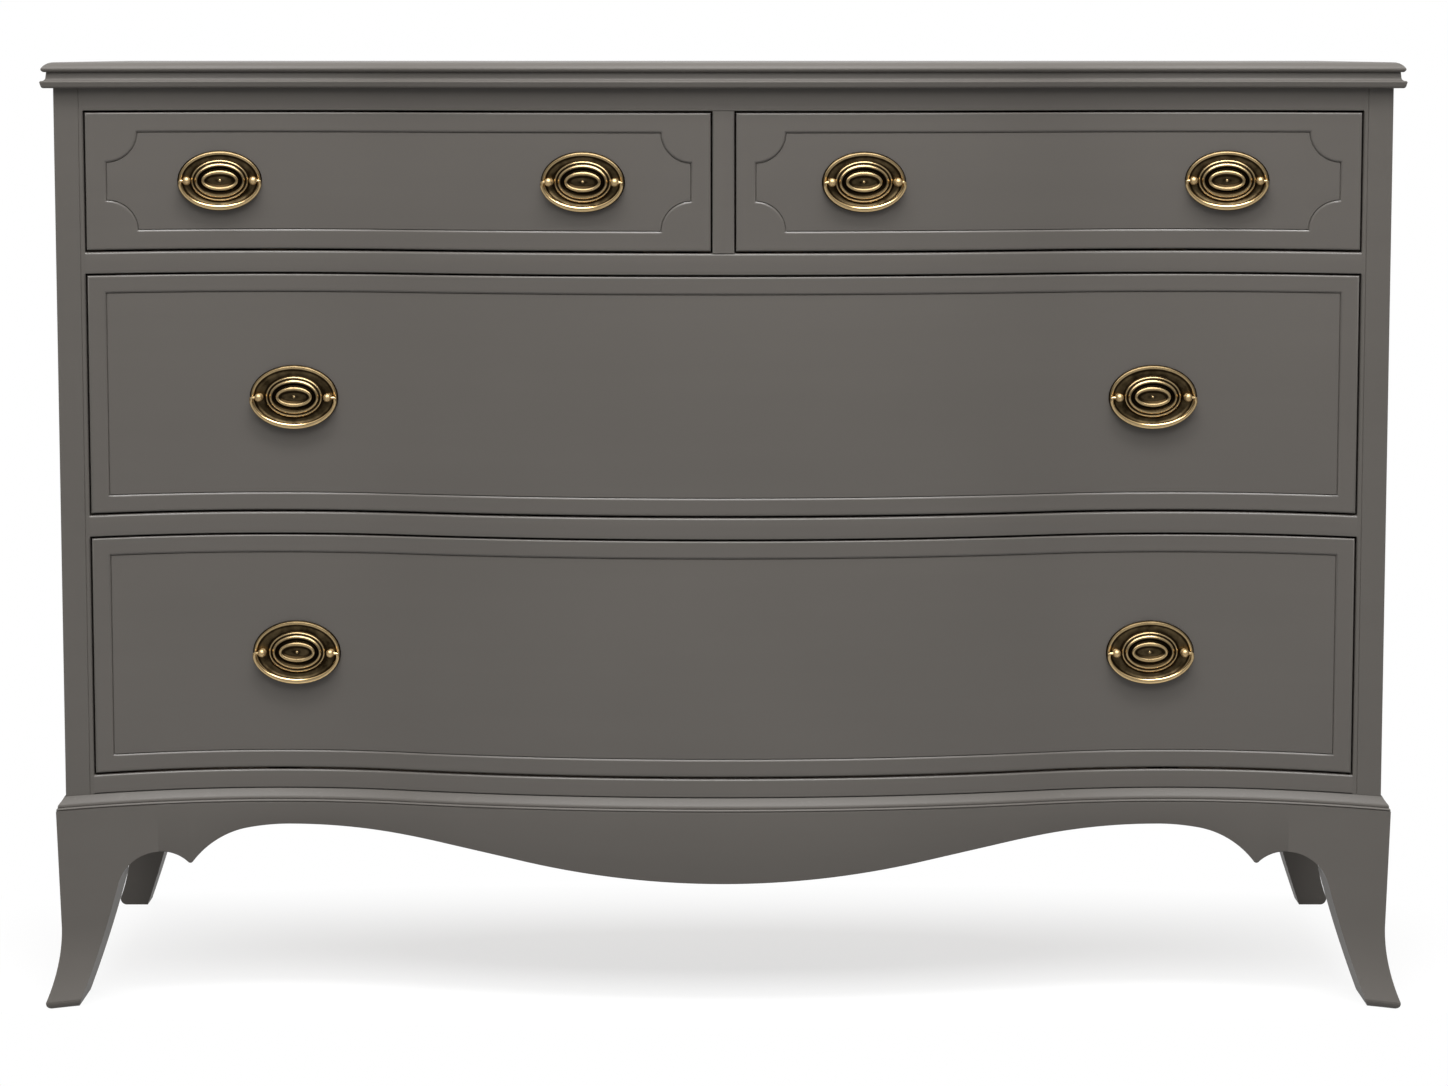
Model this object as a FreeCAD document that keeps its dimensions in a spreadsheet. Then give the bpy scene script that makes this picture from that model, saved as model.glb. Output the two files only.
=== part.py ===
import FreeCAD, Part
import os
from math import asin, atan2, degrees, hypot, sqrt

import Sketcher

# A serpentine-front dresser with two small drawers over two wide ones, on splayed
# bracket feet. Frame: +X to the viewer's right, +Y to the back, +Z up, origin on the
# floor under the middle of the whole object.
# Shapes are drawn with Y = 0 at the crown of the belly; every piece is then moved by
# the same distance so that the object is centred over the origin.

# Driving sizes in millimetres
SIZES = (
    ("case_width", 1248.0, "across the corner posts"),
    ("case_depth", 515.0, "crown of the belly to the back of the case"),
    ("belly_radius", 1129.0, "plan radius of the convex middle of the front"),
    ("hollow_radius", 450.0, "plan radius of the hollow each side of it"),
    ("hollow_place", 424.0, "centre line to the middle of each hollow"),
    ("leg_height", 187.4, "floor to the top of the feet and aprons"),
    ("bottom_rail_height", 31.0, "feet to the lower edge of the lowest opening"),
    ("divider_thickness", 20.3, "rails between the drawers, and their runners"),
    ("top_rail_height", 21.0, "rail under the top"),
    ("lower_front_height", 225.0, "fronts of the two wide drawers"),
    ("upper_front_height", 129.0, "fronts of the two small drawers"),
    ("drawer_gap", 1.5, "gap round each drawer front"),
    ("post_width", 25.5, "corner posts, seen from the front"),
    ("post_back", 62.0, "crown of the belly to the back of the front posts"),
    ("rear_post_depth", 30.0, "rear posts, front to back"),
    ("rail_back", 118.0, "crown of the belly to the back of the front rails"),
    ("stile_width", 20.5, "upright between the small drawers"),
    ("panel_thickness", 18.0, "side panels"),
    ("back_thickness", 6.0, "back panel"),
    ("back_inset", 8.0, "back panel in from the back of the case"),
    ("rear_rail_thickness", 18.0, "rails behind the drawers"),
    ("rear_rail_height", 40.0, "rail under the back of the top"),
    ("arris", 1.0, "eased edges of posts and rails"),
    ("runner_width", 45.0, "runners under the drawer sides"),
    ("runner_tie_depth", 40.0, "rear tie of each runner frame, front to back"),
    ("guide_height", 20.0, "guides beside the drawers"),
    ("centre_runner_width", 60.0, "runner shared by the small drawers"),
    ("cleat_height", 20.0, "cleats that hold the top down"),
    ("cleat_width", 40.0, "cleats along the sides"),
    ("stop_width", 30.0, "drawer stops, along the rail"),
    ("stop_depth", 20.0, "drawer stops, front to back"),
    ("stop_height", 6.0, "drawer stops above the rail"),
    ("stop_clearance", 0.3, "closed drawer front to its stop"),
    ("inner_stop_place", 60.0, "centre line to the inner stop of a small drawer"),
    ("top_thickness", 24.0, "moulded top"),
    ("top_overhang", 9.8, "lower bead of the top, beyond the case"),
    ("top_back_overhang", 8.0, "top beyond the back of the case"),
    ("upper_bead_setback", 0.8, "upper bead in from the lower bead"),
    ("upper_bead_run", 10.0, "width of the upper bead's round shoulder"),
    ("upper_bead_drop", 6.2, "top surface to the tip of the upper bead"),
    ("shoulder_radius", 11.2, "round shoulder of the upper bead"),
    ("quirk_depth", 3.0, "groove between the beads, in from the upper bead"),
    ("quirk_top", 9.7, "top surface to the groove"),
    ("quirk_bottom", 13.4, "top surface to the lower end of the groove"),
    ("bead_turn_radius", 4.3, "round of each bead into the groove"),
    ("lower_bead_drop", 17.6, "top surface to the tip of the lower bead"),
    ("under_radius", 13.2, "round underside of the lower bead"),
    ("base_projection", 7.6, "feet and aprons beyond the case"),
    ("base_moulding_height", 12.6, "moulding on top of the feet and aprons"),
    ("moulding_ledge", 0.8, "flat at the top of that moulding"),
    ("moulding_round_drop", 9.8, "height of its large round"),
    ("moulding_round_radius", 16.0, "radius of its large round"),
    ("moulding_quirk", 0.7, "bead set in from the feet"),
    ("moulding_bead_radius", 1.6, "small bead at its foot"),
    ("apron_thickness", 22.0, "aprons and bracket wings"),
    ("seam_inset", 91.6, "outer face of the leg to the joint of foot and apron"),
    ("middle_depth", 68.6, "front apron at its middle, top to bottom"),
    ("drop_half", 185.0, "centre line to the end of the middle round"),
    ("drop_end_depth", 50.7, "front apron at the end of the middle round"),
    ("drop_radius", 965.0, "middle round of the front apron"),
    ("rise_start", 262.0, "centre line to the start of the big arch"),
    ("rise_start_depth", 35.8, "front apron at the start of the big arch"),
    ("rise_radius", 790.0, "inner part of the big arch"),
    ("crown_inset", 93.6, "end of the big arch to its crown"),
    ("crown_depth", 21.1, "front apron at the crown of the big arch"),
    ("shoulder_inset", 53.6, "end of the big arch to its tighter part"),
    ("shoulder_depth", 24.4, "front apron at the start of that part"),
    ("crown_radius", 240.0, "big arch near its crown"),
    ("arch_end_radius", 84.0, "tight outer end of the big arch"),
    ("cusp_width", 4.8, "cusp between the two arches"),
    ("cusp_drop", 11.1, "crown of the small arch to the cusp"),
    ("cusp_radius", 2.9, "round of the cusp"),
    ("small_arch_depth", 45.3, "apron at the crown of the small arch"),
    ("small_arch_radius", 38.3, "small arch beside each leg"),
    ("knee_drop", 28.1, "crown of the small arch to its foot on the leg"),
    ("leg_curve_radius", 1400.0, "inner edge of the leg"),
    ("sole_inset", 19.0, "outer face line to the inner edge of the sole"),
    ("ankle_inset", 3.3, "narrowest part of the leg, in from its top"),
    ("ankle_height", 75.0, "floor to the narrowest part of the leg"),
    ("toe_side_flare", 12.8, "toe beyond the ankle, to the side"),
    ("toe_front_flare", 12.5, "toe beyond the ankle, to the front"),
    ("toe_nose", 7.5, "height of the rounded nose of the toe"),
    ("toe_nose_back", 5.5, "sole in from the tip of the toe"),
    ("toe_nose_radius", 6.5, "round of the nose"),
    ("leg_depth", 64.0, "front legs, front to back"),
    ("sole_shift", 6.0, "back of the leg moved forward at the sole"),
    ("rear_sole_depth", 36.0, "soles of the rear feet, front to back"),
    ("wing_reach", 110.0, "crown of the belly to the end of the front side wings"),
    ("corner_block_width", 40.0, "glue blocks in the corners of the base"),
    ("corner_block_height", 55.0, "glue blocks, below the case"),
    ("front_thickness", 20.0, "drawer fronts"),
    ("front_edge_radius", 1.4, "eased edges of the drawer fronts"),
    ("field_depth", 1.0, "sunk field of each drawer front"),
    ("field_bevel", 0.6, "bevel round the sunk field"),
    ("lower_field_inset", 16.5, "border round the field of the wide drawers"),
    ("upper_field_inset", 18.3, "border round the field of the small drawers"),
    ("field_corner_radius", 28.0, "scooped corners of the small drawers' fields"),
    ("drawer_length", 470.0, "crown of the belly to the back of the drawers"),
    ("drawer_side_thickness", 12.0, "drawer sides and backs"),
    ("drawer_side_drop", 8.0, "drawer sides lower than the top of the front"),
    ("runner_clearance", 0.3, "drawer sides above their runners"),
    ("drawer_bottom_thickness", 6.0, "drawer bottoms"),
    ("drawer_bottom_rise", 10.0, "lower edge of the front to the bottom board"),
    ("bottom_groove", 5.0, "depth of the grooves that hold the bottom board"),
    ("upper_plate_width", 79.2, "oval backplates of the small drawers"),
    ("upper_plate_height", 56.6, "the same, top to bottom"),
    ("upper_post_spread", 62.2, "posts of the small drawers' pulls, between centres"),
    ("lower_plate_width", 84.2, "oval backplates of the wide drawers"),
    ("lower_plate_height", 61.0, "the same, top to bottom"),
    ("lower_post_spread", 65.4, "posts of the wide drawers' pulls, between centres"),
    ("outer_pull_inset", 122.0, "outer end of a small drawer front to its outer pull"),
    ("inner_pull_inset", 119.25, "inner end of a small drawer front to its inner pull"),
    ("wide_pull_inset", 189.5, "end of a wide drawer front to its pull"),
    ("upper_pull_rise", 64.5, "pulls above the lower edge of a small drawer front"),
    ("middle_pull_rise", 108.0, "pulls above the lower edge of the middle front"),
    ("lower_pull_rise", 111.8, "pulls above the lower edge of the lowest front"),
    ("plate_skirt", 4.0, "back of each plate, before it is fitted to the curve"),
    ("plate_gap", 0.3, "back of each plate to the sunk field"),
    ("plate_edge_height", 2.0, "outer edge of each plate"),
    ("rim_inset", 1.3, "crest of the rim, in from the edge"),
    ("rim_height", 3.2, "crest of the rim"),
    ("dish_inset", 3.6, "outer edge of the dish"),
    ("dish_height", 1.2, "dish of the plate"),
    ("ring_long", 26.6, "half length of the raised ring"),
    ("ring_tall", 19.6, "half height of the raised ring"),
    ("ring_height", 2.6, "raised ring"),
    ("ring_slope", 1.3, "slope outside the raised ring"),
    ("ring_width", 3.8, "crest of the raised ring"),
    ("centre_long", 16.6, "half length of the oval in the middle"),
    ("centre_tall", 8.0, "half height of the oval in the middle"),
    ("centre_height", 3.0, "oval in the middle"),
    ("centre_slope", 1.6, "slopes of the middle oval"),
    ("centre_floor", 1.8, "sunk floor of the middle oval"),
    ("nub_radius", 1.1, "nub in the middle of the plate"),
    ("nub_height", 2.5, "the same, above the back of the plate"),
    ("post_standoff", 9.0, "back of the plate to the pin of the bail"),
    ("post_ball_radius", 3.9, "ball heads of the posts"),
    ("post_shank_radius", 2.2, "threaded shanks of the posts"),
    ("post_collar_radius", 3.6, "collars of the posts, on the plate"),
    ("post_collar_height", 3.6, "back of the plate to the front of the collar"),
    ("shank_clearance", 0.1, "shank to the holes in plate and front"),
    ("nut_radius", 4.6, "round nuts inside the drawers"),
    ("nut_thickness", 3.2, "the same, thickness"),
    ("bail_radius", 1.75, "rod of the bail"),
    ("bail_inset", 1.3, "middle of the rod, in from the edge of the plate"),
    ("pin_radius", 1.5, "pins of the bail"),
    ("pin_clearance", 0.08, "pins to their holes in the posts"),
    ("bail_rest_gap", 0.3, "hanging bail to the rim of the plate"),
    ("screw_head_radius", 3.8, "countersunk screws of the top"),
    ("screw_head_height", 3.0, "the same, height of the head"),
    ("screw_radius", 1.9, "the same, shank"),
    ("screw_bite", 13.0, "length of the screws in the top"),
    ("screw_end_inset", 45.0, "first screw in from the end of its cleat"),
)

LEFT = 1
RIGHT = -1
SWEEP_REACH = 45.0     # how far long mouldings run past the case before they are trimmed
TRIM_MARGIN = 30.0     # how far cutting shapes stand beyond what they cut
RAIL_STRIP = 10.0      # depth of the turned strip that gives a rail its eased edges
SAME = 0.001           # places closer than this are taken as one

doc = FreeCAD.newDocument("dresser")
sheet = doc.addObject("Spreadsheet::Sheet", "Sizes")


class Length:
    """A length that knows its number and the expression that gives it."""

    def __init__(self, number, text):
        self.number = number
        self.text = text

    def __add__(self, other):
        other = length(other)
        return Length(self.number + other.number, "(%s + %s)" % (self.text, other.text))

    def __sub__(self, other):
        other = length(other)
        return Length(self.number - other.number, "(%s - %s)" % (self.text, other.text))

    def __mul__(self, other):
        other = length(other)
        return Length(self.number * other.number, "(%s * %s)" % (self.text, other.text))

    def __truediv__(self, other):
        other = length(other)
        return Length(self.number / other.number, "(%s / %s)" % (self.text, other.text))

    def __radd__(self, other):
        return length(other) + self

    def __rsub__(self, other):
        return length(other) - self

    def __rmul__(self, other):
        return length(other) * self

    def __neg__(self):
        return Length(-self.number, "(0 - %s)" % self.text)


def length(value):
    """Turn a plain number into a Length."""
    if isinstance(value, Length):
        return value
    if value < 0:
        return Length(float(value), "(0 - %.9g)" % -value)
    return Length(float(value), "%.9g" % value)


def root(value):
    """Square root of a Length."""
    return Length(sqrt(value.number), "sqrt(%s)" % value.text)


def arc_sine(value):
    """Angle in degrees whose sine is given."""
    value = length(value)
    return Length(degrees(asin(value.number)), "(asin(%s) / 1 deg)" % value.text)


class Dimensions:
    """The driving sizes, each as a Length bound to its cell."""


def fill_sheet():
    """Write the driving sizes into the sheet and return them as Lengths."""
    dimensions = Dimensions()
    for row, (name, value, note) in enumerate(SIZES, start=1):
        sheet.set("A%d" % row, name)
        sheet.set("B%d" % row, "%.9g" % value)
        sheet.set("C%d" % row, note)
        sheet.setAlias("B%d" % row, name)
        setattr(dimensions, name, Length(value, "Sizes.%s" % name))
    doc.recompute()
    return dimensions


dim = fill_sheet()


# Places that follow from the driving sizes

case_half = dim.case_width / 2
post_inner = case_half - dim.post_width
panel_inner = case_half - dim.panel_thickness
leg_face = case_half + dim.base_projection
case_bottom = dim.leg_height
bottom_rail_top = case_bottom + dim.bottom_rail_height
lower_front_bottom = bottom_rail_top + dim.drawer_gap
lower_divider_bottom = lower_front_bottom + dim.lower_front_height + dim.drawer_gap
lower_divider_top = lower_divider_bottom + dim.divider_thickness
middle_front_bottom = lower_divider_top + dim.drawer_gap
upper_divider_bottom = middle_front_bottom + dim.lower_front_height + dim.drawer_gap
upper_divider_top = upper_divider_bottom + dim.divider_thickness
upper_front_bottom = upper_divider_top + dim.drawer_gap
top_rail_bottom = upper_front_bottom + dim.upper_front_height + dim.drawer_gap
case_top = top_rail_bottom + dim.top_rail_height
overall_height = case_top + dim.top_thickness
stile_half = dim.stile_width / 2
front_half = post_inner - dim.drawer_gap
small_front_inner = stile_half + dim.drawer_gap
rear_post_front = dim.case_depth - dim.rear_post_depth
back_front = dim.case_depth - dim.back_inset - dim.back_thickness
rear_rail_front = back_front - dim.rear_rail_thickness
tie_front = rear_rail_front - dim.runner_tie_depth
base_moulding_top = dim.leg_height + dim.base_moulding_height
arcs_apart = dim.belly_radius + dim.hollow_radius
hollow_centre = dim.belly_radius - root(arcs_apart * arcs_apart - dim.hollow_place * dim.hollow_place)
blend_angle = arc_sine(dim.hollow_place / arcs_apart)
toe_rise = dim.ankle_height - dim.toe_nose
sweep_end = case_half + SWEEP_REACH
apron_inner = leg_face - dim.apron_thickness
apron_seam = leg_face - dim.seam_inset
small_arch_height = dim.leg_height - dim.small_arch_depth
small_arch_centre = small_arch_height - dim.small_arch_radius
knee_height = small_arch_height - dim.knee_drop
cusp_height = small_arch_height - dim.cusp_drop


# The serpentine line. It is a convex arc in the middle and a concave arc each side,
# tangent to each other. "proud" is how far a surface stands in front of the case.

def blend_x(proud):
    """Distance from the centre line at which belly and hollow meet."""
    return dim.hollow_place * (dim.belly_radius + proud) / arcs_apart


def front_y(x, proud):
    """Y of the serpentine line at X, for a surface that stands proud of the case."""
    x = length(x)
    if abs(x.number) < blend_x(proud).number:
        radius = dim.belly_radius + proud
        return dim.belly_radius - root(radius * radius - x * x)
    out = (x if x.number > 0 else -x) - dim.hollow_place
    radius = dim.hollow_radius - proud
    return hollow_centre + root(radius * radius - out * out)


def small_arch_reach(height):
    """Half the width of the small arch at a height."""
    above = height - small_arch_centre
    return root(dim.small_arch_radius * dim.small_arch_radius - above * above)


knee = apron_seam + small_arch_reach(knee_height)
cusp = apron_seam - small_arch_reach(cusp_height)
arch_end = cusp - dim.cusp_width


def front_line(x_start, x_end, proud):
    """Corners of the serpentine line from one X to a larger one."""
    x_start, x_end = length(x_start), length(x_end)
    blend = blend_x(proud)
    stations = [x_start]
    for station in (-blend, blend):
        if x_start.number < station.number < x_end.number:
            stations.append(station)
    stations.append(x_end)
    corners = []
    for x, following in zip(stations, stations[1:]):
        middle = (x.number + following.number) / 2
        if abs(middle) < blend.number:
            corners.append((x, front_y(x, proud), dim.belly_radius + proud, LEFT))
        else:
            corners.append((x, front_y(x, proud), dim.hollow_radius - proud, RIGHT))
    corners.append((x_end, front_y(x_end, proud)))
    return corners


def reversed_line(corners):
    """The same chain of edges, travelled the other way."""
    turned = []
    for index in range(len(corners) - 1, -1, -1):
        point = corners[index][:2]
        bend = corners[index - 1][2:] if index > 0 else ()
        if bend:
            turned.append((point[0], point[1], bend[0], -bend[1]))
        else:
            turned.append(point)
    return turned


def mirrored(corners):
    """The same outline on the other side of the centre line."""
    flipped = []
    for corner in corners:
        if len(corner) == 4:
            flipped.append((-length(corner[0]), corner[1], corner[2], -corner[3]))
        else:
            flipped.append((-length(corner[0]), corner[1]))
    return flipped


def sided(corners, side):
    """An outline drawn for the right-hand side, moved to the side that is asked for."""
    return corners if side > 0 else mirrored(corners)


def slab_outline(x_start, x_end, proud, thickness):
    """Plan of a board that follows the serpentine line on both faces."""
    return front_line(x_start, x_end, proud) + reversed_line(front_line(x_start, x_end, proud - thickness))


def rail_outline(x_start, x_end, back):
    """Plan of a board with a serpentine face and a flat back."""
    return front_line(x_start, x_end, 0) + [(length(x_end), back), (length(x_start), back)]


# Making solids

def bind(item, prop, value):
    """Give a property the expression of a Length."""
    item.setExpression(prop, length(value).text)


# The toes stand furthest forward. Everything is moved so that the object is centred
# front to back over the origin.
toe_tip = leg_face - dim.ankle_inset + dim.toe_side_flare
toe_front = front_y(toe_tip, dim.base_projection + dim.toe_front_flare)
frame_shift = -(toe_front + dim.case_depth + dim.top_back_overhang) / 2

VIEW_PLANES = {"plan": "XY_Plane", "front": "XZ_Plane", "side": "YZ_Plane"}


def arc_geometry(start, end, radius, side):
    """An arc of less than half a turn, and the numbers of its first and last points."""
    run = end - start
    chord = hypot(run.x, run.y)
    reach = sqrt(radius * radius - chord * chord / 4) / chord
    centre = (start + end) * 0.5 + FreeCAD.Vector(-run.y, run.x, 0) * (reach * side)
    circle = Part.Circle(centre, FreeCAD.Vector(0, 0, 1), radius)
    first = atan2(start.y - centre.y, start.x - centre.x)
    last = atan2(end.y - centre.y, end.x - centre.x)
    if side == LEFT:
        return Part.ArcOfCircle(circle, first, last), (1, 2)
    return Part.ArcOfCircle(circle, last, first), (2, 1)


def draw(sketch, corners):
    """Draw a closed outline of lines and arcs whose corners are all bound to sizes."""
    corners = [(length(corner[0]), length(corner[1])) + tuple(corner[2:]) for corner in corners]
    base = sketch.GeometryCount
    count = len(corners)
    shapes, ends = [], []
    for index, corner in enumerate(corners):
        following = corners[(index + 1) % count]
        start = FreeCAD.Vector(corner[0].number, corner[1].number, 0)
        end = FreeCAD.Vector(following[0].number, following[1].number, 0)
        if len(corner) == 4:
            shape, pair = arc_geometry(start, end, length(corner[2]).number, corner[3])
        else:
            shape, pair = Part.LineSegment(start, end), (1, 2)
        shapes.append(shape)
        ends.append(pair)
    sketch.addGeometry(shapes, False)
    constraints, bound = [], []
    for index in range(count):
        nxt = (index + 1) % count
        constraints.append(Sketcher.Constraint(
            "Coincident", base + index, ends[index][1], base + nxt, ends[nxt][0]))
    for index, corner in enumerate(corners):
        for kind, value in (("DistanceX", corner[0]), ("DistanceY", corner[1])):
            bound.append((len(constraints), value))
            constraints.append(Sketcher.Constraint(
                kind, -1, 1, base + index, ends[index][0], value.number))
        if len(corner) == 4:
            bound.append((len(constraints), length(corner[2])))
            constraints.append(Sketcher.Constraint("Radius", base + index, length(corner[2]).number))
    offset = sketch.ConstraintCount
    sketch.addConstraint(constraints)
    for index, value in bound:
        bind(sketch, "Constraints[%d]" % (offset + index), value)


def draw_circle(sketch, x, y, radius):
    """Draw a circle bound to sizes."""
    x, y, radius = length(x), length(y), length(radius)
    base = sketch.GeometryCount
    centre = FreeCAD.Vector(x.number, y.number, 0)
    sketch.addGeometry(Part.Circle(centre, FreeCAD.Vector(0, 0, 1), radius.number), False)
    offset = sketch.ConstraintCount
    sketch.addConstraint([
        Sketcher.Constraint("DistanceX", -1, 1, base, 3, x.number),
        Sketcher.Constraint("DistanceY", -1, 1, base, 3, y.number),
        Sketcher.Constraint("Radius", base, radius.number)])
    for index, value in enumerate((x, y, radius)):
        bind(sketch, "Constraints[%d]" % (offset + index), value)


def new_body(name, shifted=True):
    """An empty body, moved with the rest of the object."""
    body = doc.addObject("PartDesign::Body", name)
    if shifted:
        bind(body, "Placement.Base.y", frame_shift)
    return body


def new_sketch(body, view, start=0):
    """A sketch on one of the body's origin planes, set off along the plane's axis."""
    sketch = body.newObject("Sketcher::SketchObject", body.Name + "_sketch")
    role = VIEW_PLANES[view]
    plane = [feature for feature in body.Origin.OriginFeatures if feature.Role == role][0]
    sketch.AttachmentSupport = [(plane, "")]
    sketch.MapMode = "FlatFace"
    start = length(start)
    bind(sketch, "AttachmentOffset.Base.z", -start if view == "front" else start)
    return sketch


def pad(body, view, corners, start, end):
    """Pad a closed outline from one place to a larger one along the view's axis."""
    start, end = length(start), length(end)
    sketch = new_sketch(body, view, start)
    draw(sketch, corners)
    feature = body.newObject("PartDesign::Pad", body.Name + "_pad")
    feature.Profile = sketch
    bind(feature, "Length", end - start)
    feature.Reversed = view == "front"
    return body


def pocket(body, sketch, view, depth):
    """Cut a sketch into the body, towards larger values along the view's axis."""
    doc.recompute()
    before = body.Shape.Volume
    feature = body.newObject("PartDesign::Pocket", body.Name + "_pocket")
    feature.Profile = sketch
    bind(feature, "Length", depth)
    feature.Reversed = view != "front"
    doc.recompute()
    if not body.Shape.Volume < before:
        raise RuntimeError("the pocket in %s cuts nothing" % body.Name)


def prism(name, view, corners, start, end):
    """A body padded from one closed outline."""
    return pad(new_body(name), view, corners, start, end)


def block(name, x_range, y_range, z_range):
    """A plain square-edged piece."""
    item = doc.addObject("Part::Box", name)
    for prop, place, pair, shift in (("Length", "x", x_range, 0), ("Width", "y", y_range, frame_shift),
                                     ("Height", "z", z_range, 0)):
        low, high = length(pair[0]), length(pair[1])
        bind(item, prop, high - low)
        bind(item, "Placement.Base.%s" % place, low + shift)
    return item


def side_range(side, inner, outer):
    """X range of a piece between two distances from the centre line."""
    return (length(inner), length(outer)) if side > 0 else (-length(outer), -length(inner))


def fuse(name, items):
    """One solid from several that overlap."""
    item = doc.addObject("Part::MultiFuse", name)
    item.Shapes = items
    return item


def cut(name, base, tool):
    """One shape less another."""
    item = doc.addObject("Part::Cut", name)
    item.Base = base
    item.Tool = tool
    return item


def common(name, first, second):
    """What two shapes share."""
    item = doc.addObject("Part::Common", name)
    item.Base = first
    item.Tool = second
    return item


def group(name, items):
    """Several separate solids of one kind."""
    item = doc.addObject("Part::Compound", name)
    item.Links = items
    return item


def edge_points(edge):
    """Three points on an edge."""
    span = edge.LastParameter - edge.FirstParameter
    return [edge.valueAt(edge.FirstParameter + span * share) for share in (0.0, 0.5, 1.0)]


def ease(body, kind, size_name, size, wanted):
    """Round or bevel the edges of a body that a test picks out."""
    doc.recompute()
    base = body.Tip
    names = ["Edge%d" % (index + 1) for index, edge in enumerate(base.Shape.Edges) if wanted(edge)]
    if not names:
        raise RuntimeError("no edges to ease on %s" % body.Name)
    feature = body.newObject("PartDesign::%s" % kind, body.Name + "_eased")
    feature.Base = (base, names)
    bind(feature, size_name, size)


def on_line(point, proud):
    """Whether a point lies on the serpentine surface."""
    return abs(point.y - front_y(point.x, proud).number) < SAME


def is_seam(edge):
    """Whether an upright edge only joins belly and hollow."""
    points = edge_points(edge)
    upright = abs(points[0].z - points[2].z) > SAME and abs(points[0].x - points[2].x) < SAME
    blend = [blend_x(proud).number for proud in (0, dim.base_projection, -dim.field_depth)]
    return upright and any(abs(abs(points[0].x) - place) < SAME for place in blend)


def face_edges(proud):
    """Test for the edges round a serpentine face."""
    return lambda edge: all(on_line(point, proud) for point in edge_points(edge)) and not is_seam(edge)


# Mouldings that follow the serpentine line are three rings: one turned about the centre
# of the belly and one about the centre of each hollow.

def ring(name, profile, centre_x, centre_y, radius, outward, start_angle, turn):
    """Turn a profile of (proud, height) corners about an upright axis."""
    corners = []
    for corner in profile:
        placed = (radius + outward * length(corner[0]), corner[1])
        if len(corner) == 4:
            placed += (corner[2], corner[3] * outward)
        corners.append(placed)
    body = new_body(name, shifted=False)
    sketch = new_sketch(body, "front")
    draw(sketch, corners)
    turned = body.newObject("PartDesign::Revolution", name + "_turned")
    turned.Profile = sketch
    turned.ReferenceAxis = (sketch, ["V_Axis"])
    bind(turned, "Angle", turn)
    bind(body, "Placement.Base.x", centre_x)
    bind(body, "Placement.Base.y", centre_y + frame_shift)
    bind(body, "Placement.Rotation.Angle", start_angle)
    return body


def serpentine_strip(name, profile):
    """A moulding that runs along the whole front and past both ends."""
    end_angle = arc_sine((sweep_end - dim.hollow_place) / dim.hollow_radius)
    belly = ring(name + "_belly", profile, 0, dim.belly_radius, dim.belly_radius, 1,
                 -90 - blend_angle, blend_angle * 2)
    hollows = []
    for side, word in ((RIGHT, "left"), (LEFT, "right")):
        start = 90 - end_angle if side > 0 else 90 - blend_angle
        hollows.append(ring(name + "_%s_hollow" % word, profile, dim.hollow_place * side, hollow_centre,
                            dim.hollow_radius, -1, start, end_angle + blend_angle))
    return [belly] + hollows


# Carcase

def front_post(name, side):
    """A corner post whose face carries on the serpentine line."""
    outline = rail_outline(post_inner, case_half, dim.post_back)
    body = prism(name, "plan", sided(outline, side), case_bottom, case_top)

    def wanted(edge):
        points = edge_points(edge)
        return abs(points[0].x - points[2].x) < SAME and all(on_line(point, 0) for point in points)
    ease(body, "Fillet", "Radius", dim.arris, wanted)
    return body


def front_rail(name, bottom, top, bevel_below, bevel_above):
    """A rail between the posts, bevelled along the edges that face a drawer."""
    above = [(-dim.arris, top), (length(0), top - dim.arris)]
    below = [(length(0), bottom + dim.arris), (-dim.arris, bottom)]
    profile = [(-RAIL_STRIP, top)]
    profile += above if bevel_above else [(length(0), top)]
    profile += below if bevel_below else [(length(0), bottom)]
    profile += [(-RAIL_STRIP, bottom)]
    core = prism(name + "_core", "plan",
                 front_line(-sweep_end, sweep_end, -RAIL_STRIP / 2)
                 + [(sweep_end, dim.rail_back), (-sweep_end, dim.rail_back)], bottom, top)
    swept = fuse(name + "_swept", serpentine_strip(name + "_face", profile) + [core])
    span = block(name + "_span", (-post_inner, post_inner), (-TRIM_MARGIN, dim.rail_back), (bottom, top))
    return common(name, swept, span)


def make_carcase():
    """Posts, rails, panels and back of the case."""
    nodes = {}
    for side, word in ((RIGHT, "left"), (LEFT, "right")):
        nodes[word + "_front_post"] = front_post(word + "_front_post", side)
        nodes[word + "_rear_post"] = block(
            word + "_rear_post", side_range(side, post_inner, case_half),
            (rear_post_front, dim.case_depth), (case_bottom, case_top))
        nodes[word + "_side_panel"] = block(
            word + "_side_panel", side_range(side, panel_inner, case_half),
            (dim.post_back, rear_post_front), (case_bottom, case_top))
    for name, bottom, top, bevel_below, bevel_above in (
            ("bottom_rail", case_bottom, bottom_rail_top, False, True),
            ("lower_divider_rail", lower_divider_bottom, lower_divider_top, True, True),
            ("upper_divider_rail", upper_divider_bottom, upper_divider_top, True, True),
            ("top_front_rail", top_rail_bottom, case_top, True, False)):
        nodes[name] = front_rail(name, bottom, top, bevel_below, bevel_above)
    nodes["centre_stile"] = prism(
        "centre_stile", "plan", rail_outline(-stile_half, stile_half, dim.rail_back),
        upper_divider_top, top_rail_bottom)
    nodes["back_panel"] = block(
        "back_panel", (-post_inner, post_inner), (back_front, back_front + dim.back_thickness),
        (case_bottom, case_top))
    for name, bottom, top in (
            ("bottom_rear_rail", case_bottom, bottom_rail_top),
            ("top_rear_rail", case_top - dim.rear_rail_height, case_top)):
        nodes[name] = block(name, (-post_inner, post_inner), (rear_rail_front, back_front), (bottom, top))
    return nodes


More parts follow.
